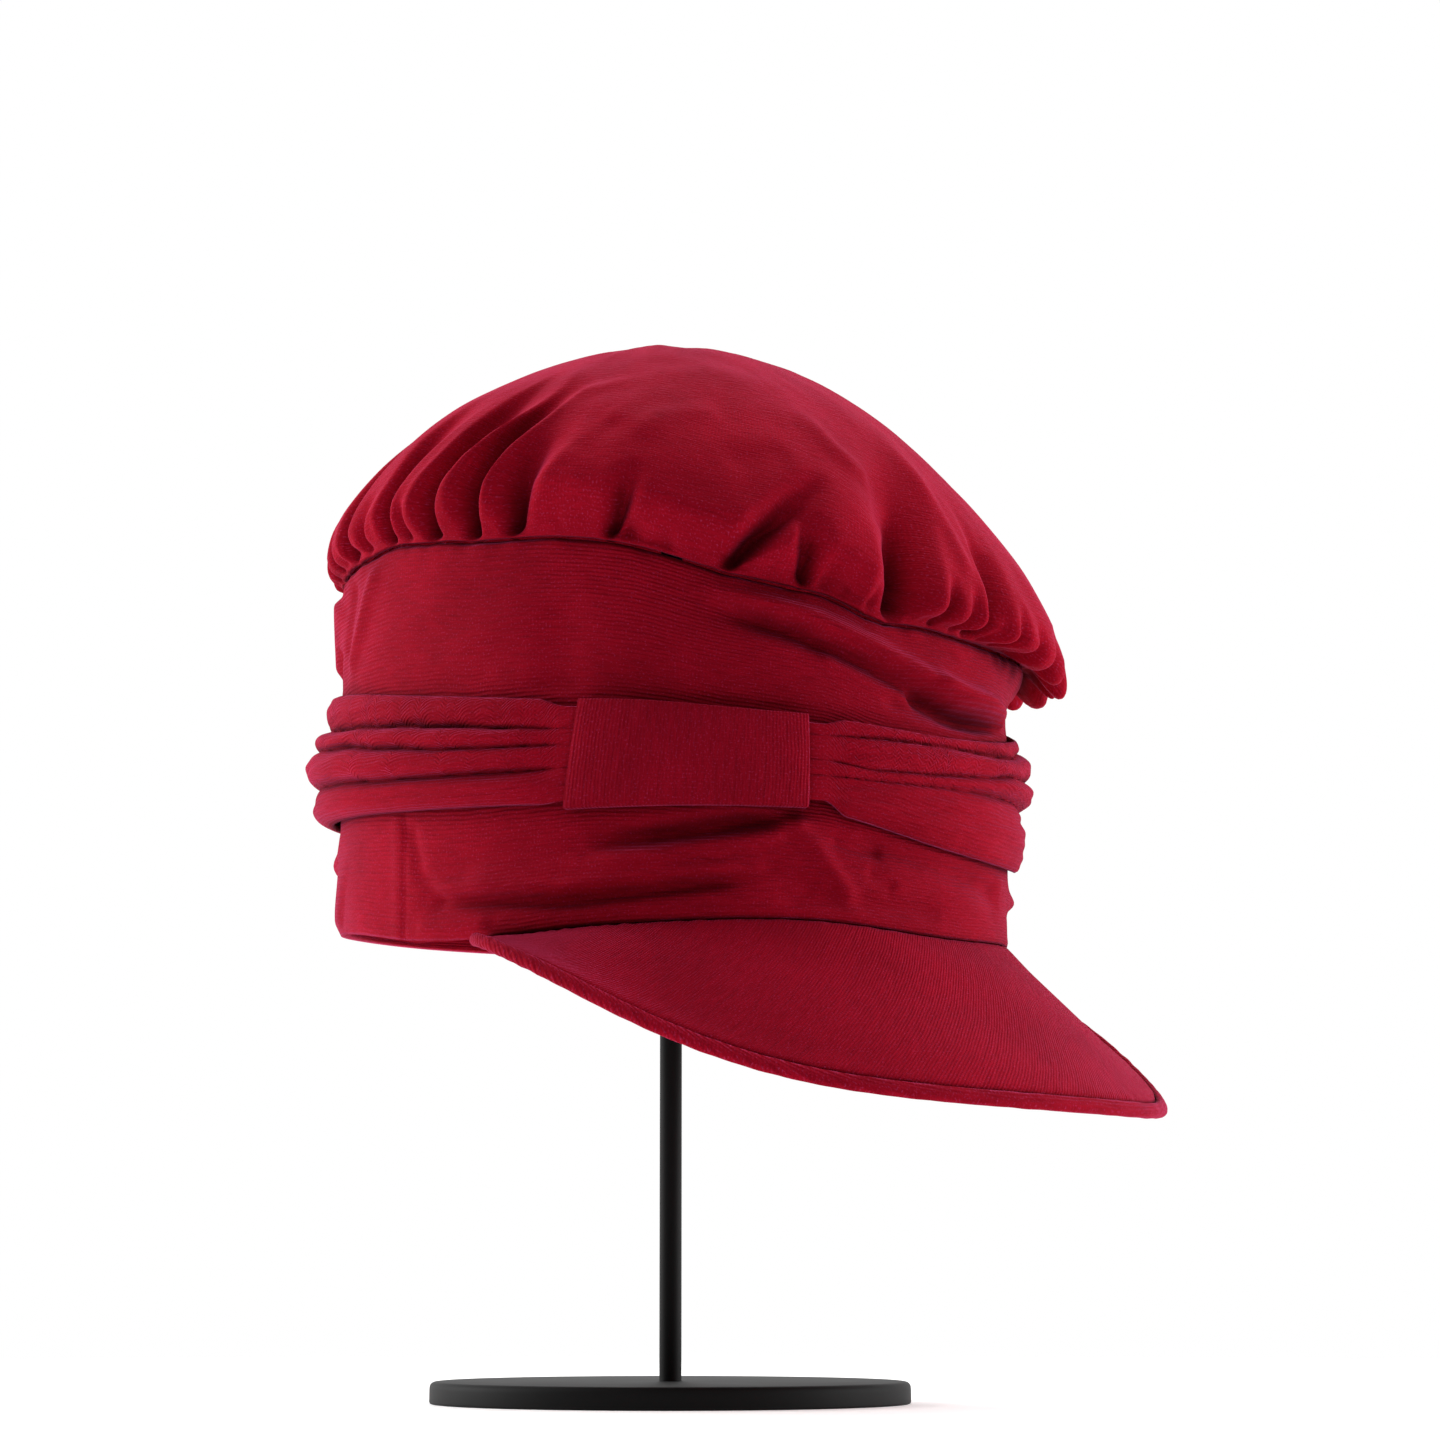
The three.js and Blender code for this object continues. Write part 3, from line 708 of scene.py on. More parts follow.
    def points(self) -> tuple[Grid, Grid]:
        """Works out the gathered face.

        Returns:
            The grid of points, and each point's place on the cloth.
        """
        turn = self.form.turns(self.stations)
        lip = np.linspace(0.0, 1.0, self.lip_rows)[:-1] ** self.lip_spacing
        dome = 1.0 + np.linspace(0.0, 1.0, self.dome_rows) ** self.dome_spacing
        share = np.concatenate([lip, dome])[None, :]
        climbed = self.climbed(self.surface(turn + 0 * share, share + 0 * turn))
        moved = turn + self.lean(turn) * smooth(climbed / 0.5)
        base = self.surface(moved, share + 0 * turn)
        push = self.ease(turn, climbed) + self.creased(climbed, base)
        points = base + self.valleys(turn, climbed, base) + normals(base) * push[..., None]
        points = (np.roll(points, 1, 0) + 2 * points + np.roll(points, -1, 0)) / 4
        # A narrow flange stands behind the seam and slightly below it.
        flange = points[:, :1] + self.form.place(turn, -self.flange_reach, 0.0)
        flange = flange - self.form.place(turn, 0.0, self.flange_drop)
        points = np.concatenate([flange, points], axis=1)
        up = np.concatenate([[0.0], np.cumsum(lengths(np.diff(points, axis=1)).mean(axis=0))])
        return points, self.form.on_cloth(turn, up[None, :])

    def climbed(self, points: Grid) -> Grid:
        """Share of the way from the seam to the apex, along the face, for each point of a grid."""
        steps = np.cumsum(lengths(np.diff(points, axis=1)), axis=1)
        return np.concatenate([np.zeros((len(points), 1)), steps], axis=1) / steps[:, -1:]

    def valleys(self, turn: Grid, climbed: Grid, base: Grid) -> Grid:
        """How the gathers draw the cloth in: each valley runs nearly straight from the seam to where it ends.

        Args:
            turn: degrees round the head, at the seam.
            climbed: share of the way from the seam to the apex.
            base: the face without gathers.

        Returns:
            The move of each point, in millimetres.
        """
        move = np.zeros_like(base)
        level = self.form.place(turn + 0 * climbed, 1.0, 0.0) - self.form.place(turn + 0 * climbed, 0.0, 0.0)
        inward = mix(level, normals(base), smooth(climbed / 0.1)[..., None])
        stray = self.stray * ripples(turn, climbed, 7, 10, (5, 16), (0.6, 2.2))
        held_back = 1 - self.pinch_flare * self.form.flare(turn) / self.form.flare_most
        gathers = self.gathers()
        for k, g in enumerate(gathers):
            before = min(self.widest_gap, (g.turn - gathers[k - 1].turn) % 360)
            after = min(self.widest_gap, (gathers[(k + 1) % len(gathers)].turn - g.turn) % 360)
            risen = np.clip(climbed / g.climb, 0.0, 1.0)
            away = turn_between(turn, g.turn + g.sway * risen) + stray * risen
            room = np.where(
                away > 0,
                g.keeperward or 2 * self.steep_side * after * self.far_share,
                g.frontward or 2 * (1 - self.steep_side) * before * self.far_share,
            )
            # A valley is a slit at its foot and a wide hollow higher up, along the chord to its end.
            across = np.clip(np.abs(away) / (room * (0.75 + 0.7 * risen)), 0.0, 1.0)
            slit = (1 - across) ** 2 * (1 + 1.1 * across)
            hollow = (1 - across**2) ** (1.2 + 0.22 * np.maximum(0.0, room - 3))
            weight = mix(slit, self.hollow * hollow, smooth(1.6 * risen)) * g.depth / self.full_depth
            lines = np.nonzero(weight.max(axis=1) > 1e-4)[0]
            end = np.array([self.at_share(i, g.climb, climbed, base) for i in lines])
            chord = mix(base[lines, :1], end[:, None], risen[lines][..., None])
            close = (1 - risen[lines]) ** 0.5
            move[lines] += (chord - base[lines]) * (weight[lines] * close)[..., None]
            # The stitches pinch each valley into a dark slit at its foot, deeper where it climbs little.
            foot = np.clip(climbed / min(g.climb, self.pinch_climb), 0.0, 1.0)
            # How deep the chord alone lies under the face, by the dome's curve.
            drawn = (g.climb * self.climb_length) ** 2 / self.sagitta
            pinch = max(self.least_pinch * min(1.0, g.depth / 6), g.depth * (1 - drawn / self.full_depth))
            narrow = np.abs(away) / (np.minimum(room, self.pinch_room) * (0.52 + 0.38 * foot))
            narrow = np.clip(narrow, 0.0, 1.0)
            fold = (1 - narrow**2) ** 1.7 * (1 - foot) ** 0.9 * (0.15 + 0.85 * smooth(climbed / 0.03))
            move -= inward * (pinch * fold * held_back)[..., None]
        return move

    def at_share(self, line: int, share: float, climbed: Grid, base: Grid) -> Grid:
        """The place on one of the face's upright lines at a share of the way up."""
        return np.array([np.interp(share, climbed[line], base[line, :, axis]) for axis in range(3)])

    def creased(self, climbed: Grid, base: Grid) -> Grid:
        """The soft ridges and hollows of the dome.

        Args:
            climbed: share of the way from the seam to the apex.
            base: the face without gathers.

        Returns:
            The push along the normal, in millimetres.
        """
        push = np.zeros_like(climbed)
        for crease in self.creases:
            spots = []
            for turn, share in crease.line:
                line = round(turn / 360 * self.stations) % self.stations
                spots.append(self.at_share(line, share, climbed, base))
            away, reach, _ = along_line(spots, base)
            taper = smooth(np.minimum(reach, 1 - reach) / 0.3 + 0.15)
            push += crease.height * taper * bell(away, crease.width)
        return push

    def ease(self, turn: Grid, climbed: Grid) -> Grid:
        """Small puckers at the stitches and the cloth's soft unevenness.

        Args:
            turn: degrees round the head, at the seam.
            climbed: share of the way from the seam to the apex.

        Returns:
            The push along the normal, in millimetres.
        """
        rng = np.random.default_rng(self.pucker_seed)
        push = np.zeros_like(climbed)
        for _ in range(self.puckers):
            place, depth = rng.uniform(0, 360), rng.uniform(0.3, 1.2)
            climb, width = rng.uniform(0.04, 0.12), rng.uniform(0.5, 1.1)
            across = pleat(turn_between(turn, place), width, 0.4)
            push -= depth * smooth(1 - climbed / climb) * smooth(climbed / 0.012) * across
        soft = ripples(turn, climbed, 5, 9, (3, 9), (0.6, 2.0))
        fine = ripples(turn, climbed, 6, 12, (12, 34), (0.6, 2.4))
        grown = smooth(climbed / 0.15) * (1 - 0.7 * smooth((climbed - 0.6) / 0.4))
        push += grown * (1.1 * soft + 0.3 * fine * np.exp(-climbed / 0.5))
        # The puffs between the valleys fill out a little past the plain form.
        push += self.puff * smooth(climbed / 0.15) * (1 - smooth((climbed - 0.1) / 0.5))
        return push * (1 - smooth((climbed - 0.9) / 0.1))

    def settle(self, piece: Piece) -> None:
        """Lets the gathered cloth buckle under its own spare length, held at the seam.

        The rest inside carries the crown, so gravity is left out. The move is small, so touches are too.

        Args:
            piece: the crown's outer face.
        """
        mesh = piece.data
        count = len(mesh.vertices)
        rows = count // self.stations
        start = np.empty(count * 3)
        mesh.vertices.foreach_get("co", start)
        start = start.reshape(-1, 3)
        seam = piece.vertex_groups.new(name="seam")
        spare = piece.vertex_groups.new(name="spare")
        for row in range(rows):
            line = [k * rows + row for k in range(self.stations)]
            seam.add(line, self.held_rows[row] if row < len(self.held_rows) else 0.0, "REPLACE")
            spare.add(line, float(smooth(np.array(1 - row / rows / self.spare_climb))), "REPLACE")
        sim = piece.modifiers.new("settling", "CLOTH")
        for setting, value in self.settling:
            setattr(sim.settings, setting, value)
        sim.settings.effector_weights.gravity = 0.0
        sim.collision_settings.use_collision = False
        sim.collision_settings.use_self_collision = False
        scene = bpy.context.scene
        for step in range(1, self.frames + 1):
            scene.frame_set(step)
        shaped = piece.evaluated_get(bpy.context.evaluated_depsgraph_get())
        end = np.empty(count * 3)
        shaped.data.vertices.foreach_get("co", end)
        move = self.evened((end.reshape(-1, 3) - start).reshape(self.stations, rows, 3)).reshape(-1, 3)
        length = lengths(move)[:, None]
        log.info("crown settles by %.1f mm, at most %.1f mm", length.mean() / MM, length.max() / MM)
        cap = self.most * MM
        move *= cap * np.tanh(length / cap) / np.maximum(length, 1e-9)
        piece.modifiers.remove(sim)
        piece.vertex_groups.remove(spare)
        piece.vertex_groups.remove(seam)
        mesh.vertices.foreach_set("co", (start + move).ravel())
        mesh.update()
        scene.frame_set(1)

    def evened(self, move: Grid) -> Grid:
        """Takes out the finest crumples, which soft jersey doesn't keep, and fades the move near the apex.

        Args:
            move: the settled cloth's move, turn by row by three.

        Returns:
            The softer move.
        """
        for _ in range(self.evening):
            move = (np.roll(move, 1, axis=0) + 2 * move + np.roll(move, -1, axis=0)) / 4
            move[:, 1:-1] = (move[:, :-2] + 2 * move[:, 1:-1] + move[:, 2:]) / 4
        from_top = np.arange(move.shape[1])[::-1] / self.still_rows
        return move * smooth(from_top)[None, :, None]

    def build(self) -> list[Piece]:
        """Builds and dresses the crown.

        Returns:
            The crown.
        """
        points, cloth = self.points()
        piece = cloth_piece("crown_cloth", points, cloth, 0)
        self.settle(piece)
        thicken(piece, self.wall)
        hand_over(piece, self.finish.material(), "crown")
        return [piece]


# Band


class FoldKind(Enum):
    """Shape of a fold across its line."""

    VALLEY = "valley"
    RIDGE = "ridge"
    STEP = "step"


@dataclass(frozen=True)
class BandFold:
    """One fold of the band: its depth, its width, and the turns and heights that its line passes."""

    kind: FoldKind
    depth: float
    width: float
    line: tuple


BAND_FOLDS = {
    FoldKind.VALLEY: (
        (2.0, 4.5, ((133, 80), (135, 70))),
        (0.9, 3.0, ((121, 96), (123, 84), (126, 76))),
        (1.3, 7.0, ((68, 54), (68, 82))),
        (1.8, 2.2, ((14, 55), (0, 51.5), (-16, 49))),
        (2.6, 2.0, ((8, 57), (-4, 53), (-11, 52), (-24, 52))),
        (1.0, 3.0, ((42, 86), (14, 76), (-6, 69))),
        (1.5, 1.8, ((24, 18), (18, 15.5), (13, 15))),
        (1.2, 2.4, ((36, 11), (30, 8), (26, 5))),
        (1.0, 2.0, ((17, 10), (11, 6))),
        (1.3, 2.0, ((28, 22), (44, 18.5), (56, 19))),
        (2.2, 4.2, ((20, 20), (-23, 7))),
        (1.6, 2.6, ((34, 3), (0, 1))),
        (1.0, 2.6, ((99, 26), (96, 12), (90, 2))),
        (2.0, 6.0, ((172, 88), (178, 72))),
        (2.0, 5.0, ((262, 76), (268, 62))),
        (1.8, 3.2, ((255, 16), (285, 13), (310, 17))),
    ),
    FoldKind.RIDGE: (
        (2.4, 13.0, ((135, 95), (141, 74))),
        (1.5, 3.4, ((109, 97), (114, 88), (117, 80), (122, 70))),
        (1.2, 12.0, ((126, 3), (150, 20))),
        (1.8, 2.6, ((26, 66), (17, 61.5), (5, 55.5))),
        (2.0, 3.2, ((4, 62), (-8, 58.5), (-27, 57.5))),
        (1.7, 2.4, ((31, 22), (27, 17), (23.5, 9.5), (19, 1))),
        (1.4, 3.0, ((86, 10), (66, 9), (50, 12))),
        (1.8, 3.6, ((12, 24), (-25, 13))),
        (1.6, 3.0, ((97, -4), (80, -4))),
    ),
    FoldKind.STEP: (
        (4.2, 2.5, ((44, 79), (30, 73.5), (21, 68), (13, 63.5), (4, 59), (-4, 56), (-22, 54))),
        (-3.2, 2.6, ((22, 30), (29.5, 26), (34.5, 21.5), (42.5, 18.6), (53, 15.6), (64, 15))),
        (3.0, 1.7, ((94, 6.2), (68, 3.9), (58, 5.3), (47.5, 7.4), (38, 8.6))),
        (2.2, 5.0, ((215, 84), (206, 68))),
        (2.4, 4.0, ((312, 66), (296, 70), (282, 74))),
        (2.4, 3.5, ((140, 20), (160, 13), (180, 12))),
        (2.4, 3.5, ((205, 10), (225, 16), (245, 17))),
        (2.4, 2.6, ((262, 4), (290, 8), (325, 6))),
    ),
}


@dataclass
class Band:
    """The deep tube of cloth round the head, from the rim to the crown's seam."""

    form: HeadForm
    stations: int = 600
    low_rows: int = 30
    hidden_rows: int = 8
    high_rows: int = 44
    wall: float = 2.0
    unevenness: float = 0.42
    fine_unevenness: float = 0.16
    side_seam: float = 100.0
    side_seam_depth: float = 0.5
    side_hem_height: float = 0.4
    seam_groove: float = 0.9
    seam_tucks: float = 0.35
    rim_turn: float = 0.5
    folds: tuple = tuple(BandFold(kind, *row) for kind, rows in BAND_FOLDS.items() for row in rows)
    finish: CottonKnit = CottonKnit("band cotton jersey", base="#9c0920", shade="#780516")

    def push(self, turn: Grid, height: Grid) -> Grid:
        """How far the folds, the seams and the crown's weight move the band's face.

        Args:
            turn: degrees round the head.
            height: millimetres above the rim line.

        Returns:
            Millimetres outwards.
        """
        rim, low, top, seam = (self.form.around(c, turn) for c in ("rim", "sash_low", "sash_top", "seam"))
        share, below = (height - rim) / (seam - rim), seam - height
        total = sum(fold.depth * self.profile(fold, turn, height) for fold in self.folds)
        total += self.unevenness * ripples(turn, share, 21, 10, (2, 9), (0.8, 2.6))
        total += self.fine_unevenness * ripples(turn, share, 22, 14, (8, 26), (3.0, 7.0))
        # It lies flat behind the sash and at both edges.
        total *= 1 - 0.999 * smooth(np.minimum(height - low + 4, top + 4 - height) / 3)
        total *= smooth((height - rim) / 4) * smooth(below / 5)
        # Tiny tucks where the crown's seam pulls on the band, the seam's groove, and the turned rim.
        tucks = 1 + ripples(turn, share, 23, 16, (30, 90), (0.0, 0.2))
        total -= self.seam_tucks * bell(below, 3.0) * tucks + self.seam_groove * bell(below, 0.8)
        total -= self.rim_turn * bell(height - rim, 0.9)
        # The side seam, with its allowance lying to the back.
        away = turn_between(turn, self.side_seam) * self.form.degree
        total -= self.side_seam_depth * pleat(away, 0.5, 0.3) * (1 - smooth((height - low) / 3))
        total += self.side_hem_height * bell(away - 3.5, 2.6) * (1 - smooth((height - low + 2) / 3))
        return total + self.form.flare(turn, below)

    def profile(self, fold: BandFold, turn: Grid, height: Grid) -> Grid:
        """One fold's profile over the band, of unit depth.

        Args:
            fold: the fold.
            turn: degrees round the head.
            height: millimetres above the rim line.

        Returns:
            Millimetres outwards for each millimetre of depth.
        """
        around = turn_between(turn, fold.line[0][0]) * self.form.degree
        points = np.stack(np.broadcast_arrays(around, height), axis=-1)
        spots = [np.array([turn_between(t, fold.line[0][0]) * self.form.degree, h]) for t, h in fold.line]
        away, reach, above = along_line(spots, points)
        taper = smooth(np.minimum(reach, 1 - reach) / 0.18 + 0.25)
        if fold.kind is FoldKind.STEP:
            scaled = above * away / fold.width
            return taper * scaled * np.exp(0.5 - scaled**2 / 2)
        sign = 1.0 if fold.kind is FoldKind.RIDGE else -1.0
        return sign * taper * bell(away, fold.width)

    def build(self) -> list[Piece]:
        """Builds and dresses the band.

        Returns:
            The band.
        """
        turn = self.form.turns(self.stations)
        rim, low, top, seam = (self.form.around(c, turn) for c in ("rim", "sash_low", "sash_top", "seam"))
        low, top = low + 2, top - 2
        # The rows lie close where the band shows, and wide apart behind the sash.
        spans = (
            (rim, low, self.low_rows, True),
            (low, top, self.hidden_rows, True),
            (top, seam, self.high_rows, False),
        )
        height = np.concatenate(
            [mix(a, b, np.linspace(0, 1, rows + opens)[None, :rows]) for a, b, rows, opens in spans], axis=1
        )
        share = (height - rim) / (seam - rim)
        points = self.form.place(turn, self.push(turn, height), height)
        # The rows of stitches keep level with the rim below and with the crown's seam above.
        up = np.concatenate([share, share[:1]]) * (seam - rim).mean()
        piece = cloth_piece("band_cloth", points, self.form.on_cloth(turn, up), self.wall)
        hand_over(piece, self.finish.material(), "band")
        return [piece]


# Sash and keeper


@dataclass
class Keeper:
    """The short band of cloth that goes right round the sash and gathers it."""

    form: HeadForm
    start: float = 29.0
    end: float = 64.0
    slant: float = 2.4
    low: float = 25.2
    high_front: float = 49.2
    high_back: float = 53.4
    wall: float = 1.1
    out: float = 6.6
    back_gap: float = 0.55
    sag: float = 0.35
    bow: float = 0.28
    belly: float = 0.045
    stations: int = 90
    front_points: int = 22
    corner: tuple = (
        (0.0, 0.5), (0.0, 0.06), (0.08, 0.012), (0.3, 0.0), (0.62, 0.0), (0.83, 0.006), (0.95, 0.03),
        (0.985, 0.09),
    )
    finish: CottonKnit = CottonKnit(
        "keeper cotton jersey", base="#960920", shade="#6e0413", lay=Lay.UPRIGHT, rib_mm=0.9,
        rib_depth_mm=0.12,
    )

    def heights(self, turn: Grid) -> tuple[float, Grid]:
        """Lower and upper edge at a turn, in millimetres above the rim line."""
        share = (turn - self.start) / (self.end - self.start)
        return self.low, mix(self.high_front, self.high_back, share)

    def pinch(self, turn: Grid, margin: float) -> Grid:
        """How strongly the keeper holds the sash: 1 inside it, and 0 from the margin's degrees beside it."""
        half = (self.end - self.start) / 2 + self.slant
        return 1 - smooth((np.abs(turn_between(turn, (self.start + self.end) / 2)) - half) / margin)

    def path(self) -> Grid:
        """Outline of the keeper's section: an oval with flat sides, out and rise from 0 to 1."""
        rises = np.linspace(0.16, 0.84, self.front_points)
        front = [(1.0 + self.belly * math.sin(math.pi * r), r) for r in rises]
        mirrored = [(o, 1 - r) for o, r in reversed(self.corner)]
        return np.array([*self.corner, *front, *mirrored[:-1]])

    def build(self) -> list[Piece]:
        """Builds and dresses the keeper.

        Returns:
            The keeper.
        """
        along = np.linspace(0.0, 1.0, self.stations)[:, None]
        path = self.path()
        out, rise = path[None, :, 0], path[None, :, 1]
        turn = mix(self.start, self.end + self.slant * (1 - rise), along)
        low, high = self.heights(turn)
        sag = self.sag * np.sin(math.pi * along) * (1 - rise) - 0.25 * np.sin(math.tau * along) * rise
        # Only the front bows out, and it dips at the two cut edges.
        bow = self.bow * np.sin(3.1 * along * math.pi) * np.sin(math.pi * rise)
        edge = 0.35 * bell(np.minimum(along, 1 - along), 0.03)
        reach = mix(self.back_gap, self.out, out) + (bow - edge) * (out > 0.9)
        points = self.form.place(turn, reach, mix(low, high, rise) + sag)
        steps = lengths(np.diff(points, axis=1, append=points[:, :1])).mean(axis=0)
        up = np.concatenate([[0.0], np.cumsum(steps)])
        across = along * math.radians(self.end - self.start) * (self.form.radius + self.out)
        cloth = np.stack(np.broadcast_arrays(across, up[None, :]), axis=-1)
        piece = cloth_piece("keeper_cloth", points, cloth, self.wall, wrapped=False, ring=True)
        hand_over(piece, self.finish.material(), "keeper")
        return [piece]


@dataclass(frozen=True)
class Pleats:
    """The sash at one turn: heights of its three valleys and reach of its four rolls, in millimetres."""

    turn: float
    valleys: tuple
    rolls: tuple


@dataclass
class Sash:
    """The long strip round the band, folded in rolls that the keeper draws together."""

    form: HeadForm
    keeper: Keeper
    stations: int = 600
    rows: int = 82
    wall: float = 1.1
    depth: float = 3.6
    clearance: float = 0.9
    held_margin: float = 14.0
    under_margin: float = 5.0
    fine_folds: float = 0.28
    long_folds: float = 0.35
    pleats: tuple = (
        Pleats(-115, (32.0, 41.0, 50.0), (6.0, 8.0, 8.6, 5.0)),
        Pleats(-80, (31.0, 39.0, 49.5), (5.2, 7.4, 7.8, 4.0)),
        Pleats(-43, (34.0, 41.0, 50.5), (4.4, 7.2, 6.6, 3.2)),
        Pleats(-20, (33.4, 39.3, 44.0), (5.0, 6.6, 6.8, 3.8)),
        Pleats(-9, (33.2, 37.2, 43.1), (5.6, 5.8, 6.8, 4.2)),
        Pleats(7, (32.8, 35.8, 43.5), (5.8, 5.0, 6.6, 4.6)),
        Pleats(17, (33.0, 35.8, 43.9), (5.4, 4.6, 6.2, 5.0)),
        Pleats(27, (33.8, 37.7, 44.1), (5.0, 4.8, 5.4, 5.0)),
        Pleats(48, (34.0, 39.0, 44.5), (4.6, 4.6, 4.6, 4.6)),
        Pleats(67, (36.0, 41.9, 46.0), (5.2, 5.6, 5.0, 5.0)),
        Pleats(76, (35.7, 42.0, 46.8), (6.2, 6.6, 6.6, 5.4)),
        Pleats(88, (36.0, 42.8, 48.8), (7.0, 7.8, 7.8, 5.6)),
        Pleats(100, (36.8, 45.0, 50.9), (7.2, 9.0, 7.8, 5.4)),
        Pleats(114, (38.8, 48.0, 53.0), (7.6, 9.8, 7.2, 4.8)),
        Pleats(137, (41.5, 51.5, 57.0), (7.6, 9.8, 7.4, 4.0)),
        Pleats(180, (41.0, 50.5, 59.5), (7.4, 8.6, 7.8, 5.0)),
        Pleats(215, (38.0, 47.0, 56.5), (6.6, 8.8, 7.4, 5.4)),
    )
    finish: CottonKnit = CottonKnit("sash cotton jersey", base="#9c0920", shade="#780516", rib_mm=1.1)

    def between(self, column: str, item: int, turn: Grid) -> Grid:
        """One measure at each turn, by soft steps between the table's rows.

        Args:
            column: valleys or rolls.
            item: which of them, from the lowest.
            turn: degrees round the head.

        Returns:
            The measure in millimetres.
        """
        turns = np.array([p.turn for p in self.pleats], float)
        turns = np.concatenate([turns - 360, turns, turns + 360])
        values = np.tile([float(getattr(p, column)[item]) for p in self.pleats], 3)
        i = np.clip(np.searchsorted(turns, turn, side="right") - 1, 0, len(turns) - 2)
        share = (turn - turns[i]) / (turns[i + 1] - turns[i])
        return mix(values[i], values[i + 1], 0.5 * share + 0.5 * smooth(share))

    def build(self) -> list[Piece]:
        """Builds and dresses the sash.

        Returns:
            The sash.
        """
        form, keeper = self.form, self.keeper
        turn = form.turns(self.stations)
        held, under = keeper.pinch(turn, self.held_margin), keeper.pinch(turn, self.under_margin)
        keeper_low, keeper_high = keeper.heights(turn)
        clear = keeper.wall + self.clearance
        low = mix(form.around("sash_low", turn), keeper_low + clear, under)
        top = mix(form.around("sash_top", turn), keeper_high - clear, under)
        back = keeper.back_gap + under * clear
        flat = keeper.out - keeper.wall - self.clearance
        # The rolls lie between lines, and drop at each of these to its level.
        lines = [low, *(self.between("valleys", k, turn) for k in range(3)), top]
        fulls = [mix(self.between("rolls", k, turn), flat, held**2) for k in range(4)]
        fulls = [np.minimum(full, flat + 12 * (1 - under)) for full in fulls]
        wides = [np.maximum(upper - lower, 0.5) for lower, upper in zip(lines[:-1], lines[1:])]
        edge = back + self.wall + 0.2
        dips = [np.minimum(self.depth, 0.62 * np.minimum(wides[k], wides[k + 1])) for k in range(3)]
        levels = [np.minimum(fulls[k], fulls[k + 1]) - dips[k] * (1 - 0.2 * held) for k in range(3)]
        levels = [edge, *(np.maximum(edge, level) for level in levels), edge]
        height = mix(low, top, np.linspace(0.0, 1.0, self.rows)[None, :])
        out = np.zeros_like(height)
        for k in range(4):
            x = (height - lines[k]) / wides[k]
            inside = (x >= 0) & (x <= 1)
            x = np.clip(x, 0, 1)
            roll = np.clip(4 * x * (1 - x), 0, 1) ** mix(0.5, 0.32, held)
            out = np.where(inside, mix(mix(levels[k], levels[k + 1], x), fulls[k], roll), out)
        uneven = self.fine_folds * ripples(turn, height / 10.0, 31, 16, (4, 16), (1.2, 3.4))
        uneven += self.long_folds * ripples(turn, height / 10.0, 32, 8, (2, 6), (0.5, 1.4))
        loose = smooth(np.minimum(height - low, top - height) / 3)
        out = out + loose * (1 - 0.85 * under) * uneven
        points = form.place(turn, np.maximum(out, back + self.wall), height)
        steps = np.cumsum(lengths(np.diff(points, axis=1)), axis=1)
        up = np.concatenate([np.zeros((self.stations, 1)), steps], axis=1)
        cloth = form.on_cloth(turn, np.concatenate([up, up[:1]]))
        piece = cloth_piece("sash_cloth", points, cloth, self.wall)
        hand_over(piece, self.finish.material(), "sash")
        return [piece]


# Peak


